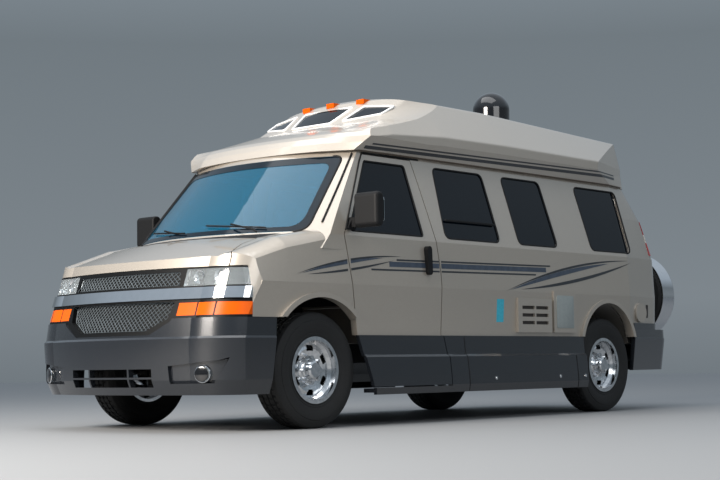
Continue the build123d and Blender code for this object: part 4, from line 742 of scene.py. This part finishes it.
# columns: radius, place along the axle, from the bead to the tread's edge
tyre_side = [(0.204, -0.095), (0.222, -0.095), (0.240, -0.1025), (0.243, -0.1005),
             (0.300, -0.120), (0.326, -0.1172), (0.329, -0.1135), (0.348, -0.112),
             (0.373, -0.096), (TYRE_RADIUS, -TREAD_HALF)]
tyre_section = list(tyre_side)
for groove in (-GROOVE_Y, 0.0, GROOVE_Y):
    tyre_section += [(TYRE_RADIUS, groove - 0.006), (GROOVE_FLOOR, groove - 0.004),
                     (GROOVE_FLOOR, groove + 0.004), (TYRE_RADIUS, groove + 0.006)]
tyre_section += [(radius, -along) for radius, along in reversed(tyre_side)]
tyre = start(bpy.ops.mesh.primitive_circle_add, vertices=len(tyre_section), radius=1)
for vertex, (radius, along) in zip(tyre.data.vertices, tyre_section):
    vertex.co = (radius, along, 0)
edit(tyre, (bpy.ops.mesh.spin, {"steps": TREAD_STEPS, "angle": tau, "center": (0, 0, 0),
                                "axis": (0, 1, 0)}),
     (bpy.ops.mesh.remove_doubles, {"threshold": WELD}),
     (bpy.ops.mesh.normals_make_consistent, {"inside": False}))


def cross_cut(centre, normal):
    """Every third facet of each tread row, staggered from row to row."""
    around = Vector((centre.x, centre.z))
    if around.length < TYRE_RADIUS - 0.0015 or abs(centre.y) > TREAD_HALF:
        return False
    step = round(Vector((1, 0)).angle_signed(around) / tau * TREAD_STEPS + 0.5)
    return (step + (1 if abs(centre.y) > GROOVE_Y else 0)) % 3 == 0


pick(tyre, cross_cut)
bpy.ops.mesh.inset(thickness=0.0022, depth=-0.006, use_individual=True)
bpy.ops.object.mode_set(mode="OBJECT")
settle(tyre, "tyre_form", "body_shell", rubber, smooth=30)
hubs = {joint["child"]: joint["pos_m"] for joint in frame["joints"]}
for corner in ("left_front", "right_front", "left_rear", "right_rear"):
    wheel = f"{corner}_wheel"
    made = copied(tyre, f"{corner}_treaded_tyre", wheel, move=hubs[wheel])
    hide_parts(f"{corner}_tyre")
bpy.data.objects.remove(tyre)

# Cab seats: a hard plinth, and three pads each, swollen over their foam
PAD_CAP = 0.016                 # a point of the cover moves no further than this
PAD_VOXEL = 0.012
PAD_MOMENTS, PAD_PRESSURE = 20, 4               # frames and pressure of the cloth
# depth and half width of a sewn channel, and how steeply it runs out
STITCH_DEPTH, STITCH_HALF, STITCH_FALL = 0.006, 0.007, 2.718
SEAT_X, SEAT_Y = 1.150, 0.480


def pad(size, channels):
    """A crowned leather pad: a rounded block, remeshed, swollen, and drawn in at its seams."""
    made = start(bpy.ops.mesh.primitive_cube_add, size=1, scale=[s - 0.02 for s in size])
    bpy.ops.object.transform_apply(location=True, rotation=True, scale=True)
    modify(made, "BEVEL", width=min(size) * 0.30, segments=4)
    modify(made, "REMESH", mode="VOXEL", voxel_size=PAD_VOXEL)
    rest = [vertex.co.copy() for vertex in made.data.vertices]
    cloth = made.modifiers.new("swelling", "CLOTH")
    cloth.settings.use_pressure = True
    cloth.settings.uniform_pressure_force = PAD_PRESSURE
    cloth.settings.effector_weights.gravity = 0
    for moment in range(1, PAD_MOMENTS + 1):
        bpy.context.scene.frame_set(moment)
    shown = made.evaluated_get(bpy.context.evaluated_depsgraph_get())
    swollen = [vertex.co.copy() for vertex in shown.data.vertices]
    made.modifiers.remove(cloth)
    bpy.context.scene.frame_set(1)
    for vertex, before, after in zip(made.data.vertices, rest, swollen):
        shift = after - before
        vertex.co = before + shift * min(1, PAD_CAP / max(shift.length, 1e-6))
    for vertex in made.data.vertices:
        draw = sum(STITCH_DEPTH * STITCH_FALL ** -(((vertex.co[axis] - place) / STITCH_HALF) ** 2)
                   for axis, place in channels)
        vertex.co -= vertex.normal * draw
    modify(made, "SUBSURF", levels=1, render_levels=1)
    return made


# columns: name, size, sewn channels as (axis, place), centre, backward lean in degrees
seat_pads = (
    ("cushion", (0.48, 0.48, 0.15), ((1, -0.13), (1, 0.13), (0, 0.10)), (1.165, 0.812), 2),
    ("back", (0.12, 0.46, 0.60), ((1, -0.13), (1, 0.13), (2, 0.06)), (0.868, 1.190), -16),
    ("headrest", (0.09, 0.24, 0.15), ((1, -0.07), (1, 0.07)), (0.756, 1.562), -8),
)
seat_sides = (("driver", 1), ("passenger", -1))
for part, size, channels, (x, z), lean in seat_pads:
    form = pad(size, channels)
    form.data.transform(Matrix.Rotation(radians(lean), 4, "Y"))
    settle(form, "pad_form", "body_shell", leather, recalculate=False)
    for label, side in seat_sides:
        made = copied(form, f"{label}_seat_{part}", "body_shell",
                      move=(x, side * SEAT_Y, z))
        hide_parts("cab_seats")
    bpy.data.objects.remove(form)
for label, side in seat_sides:
    plinth = start(bpy.ops.mesh.primitive_cube_add, size=1, scale=(0.42, 0.42, 0.120),
                   location=(SEAT_X, side * SEAT_Y, 0.672))
    pick(plinth, lambda centre, normal: normal.z > 0.5)
    bpy.ops.mesh.inset(thickness=0.02, depth=0.01)
    bpy.ops.object.mode_set(mode="OBJECT")
    modify(plinth, "BEVEL", width=0.006, segments=2, limit_method="ANGLE")
    settle(plinth, f"{label}_seat_plinth", "body_shell", black_steel)

# Stage: a wide grey floor under a graded sky, and soft lamps
bpy.ops.mesh.primitive_plane_add(size=60, location=(0, 0, 0))
floor = bpy.context.object
floor.name = "studio_floor"
# Painted concrete: dull, with a soft shadow and hardly a reflection
floor_finish = finish("grey_floor", "#8A8C8E", Roughness=0.6)
grain(floor_finish, 8, 0.3)
floor.data.materials.append(floor_finish)

world = bpy.data.worlds.new("studio_world")
bpy.context.scene.world = world
world.use_nodes = True
sky = world.node_tree
place = node(sky, "ShaderNodeTexCoord")
height = node(sky, "ShaderNodeSeparateXYZ", None, {"Vector": place.outputs["Generated"]})
spread = node(sky, "ShaderNodeMapRange", {"From Min": -0.2, "From Max": 1.0},
              {"Value": height.outputs["Z"]})
shades = node(sky, "ShaderNodeValToRGB", None, {"Fac": spread.outputs["Result"]})
ramp = shades.color_ramp
ramp.elements[0].position, ramp.elements[0].color = 0.12, linear("#6E777D")
ramp.elements[1].position, ramp.elements[1].color = 0.90, linear("#DDE7F2")
for position, code in ((0.20, "#8B949B"), (0.34, "#7D878E"), (0.50, "#B4C2CF")):
    ramp.elements.new(position).color = linear(code)
sky.links.new(shades.outputs["Color"], sky.nodes["Background"].inputs["Color"])
SKY_STRENGTH = 0.8
sky.nodes["Background"].inputs["Strength"].default_value = SKY_STRENGTH


def lamp(name, place, aim, size, power, colour="#FFFFFF"):
    """An area lamp at a place, turned to what it lights. Power in watts."""
    data = bpy.data.lights.new(name, "AREA")
    data.shape, data.size, data.size_y = "RECTANGLE", *size
    data.energy = power
    data.color = linear(colour)[:3]
    made = bpy.data.objects.new(name, data)
    bpy.context.scene.collection.objects.link(made)
    made.location = place
    made.rotation_euler = (Vector(aim) - Vector(place)).to_track_quat("-Z", "Y").to_euler()


lamp("key_softbox", (10.5, 0.5, 4.6), (1.5, 0, 1.4), (4, 3), 1900, "#FFF6EC")
lamp("top_softbox", (1.5, 0, 8.5), (0.5, 0, 0), (9, 5), 300)
lamp("side_softbox", (2.5, 10.0, 5.0), (0, 0.5, 1.0), (7, 3), 200)

bpy.context.scene.view_settings.view_transform = "Standard"
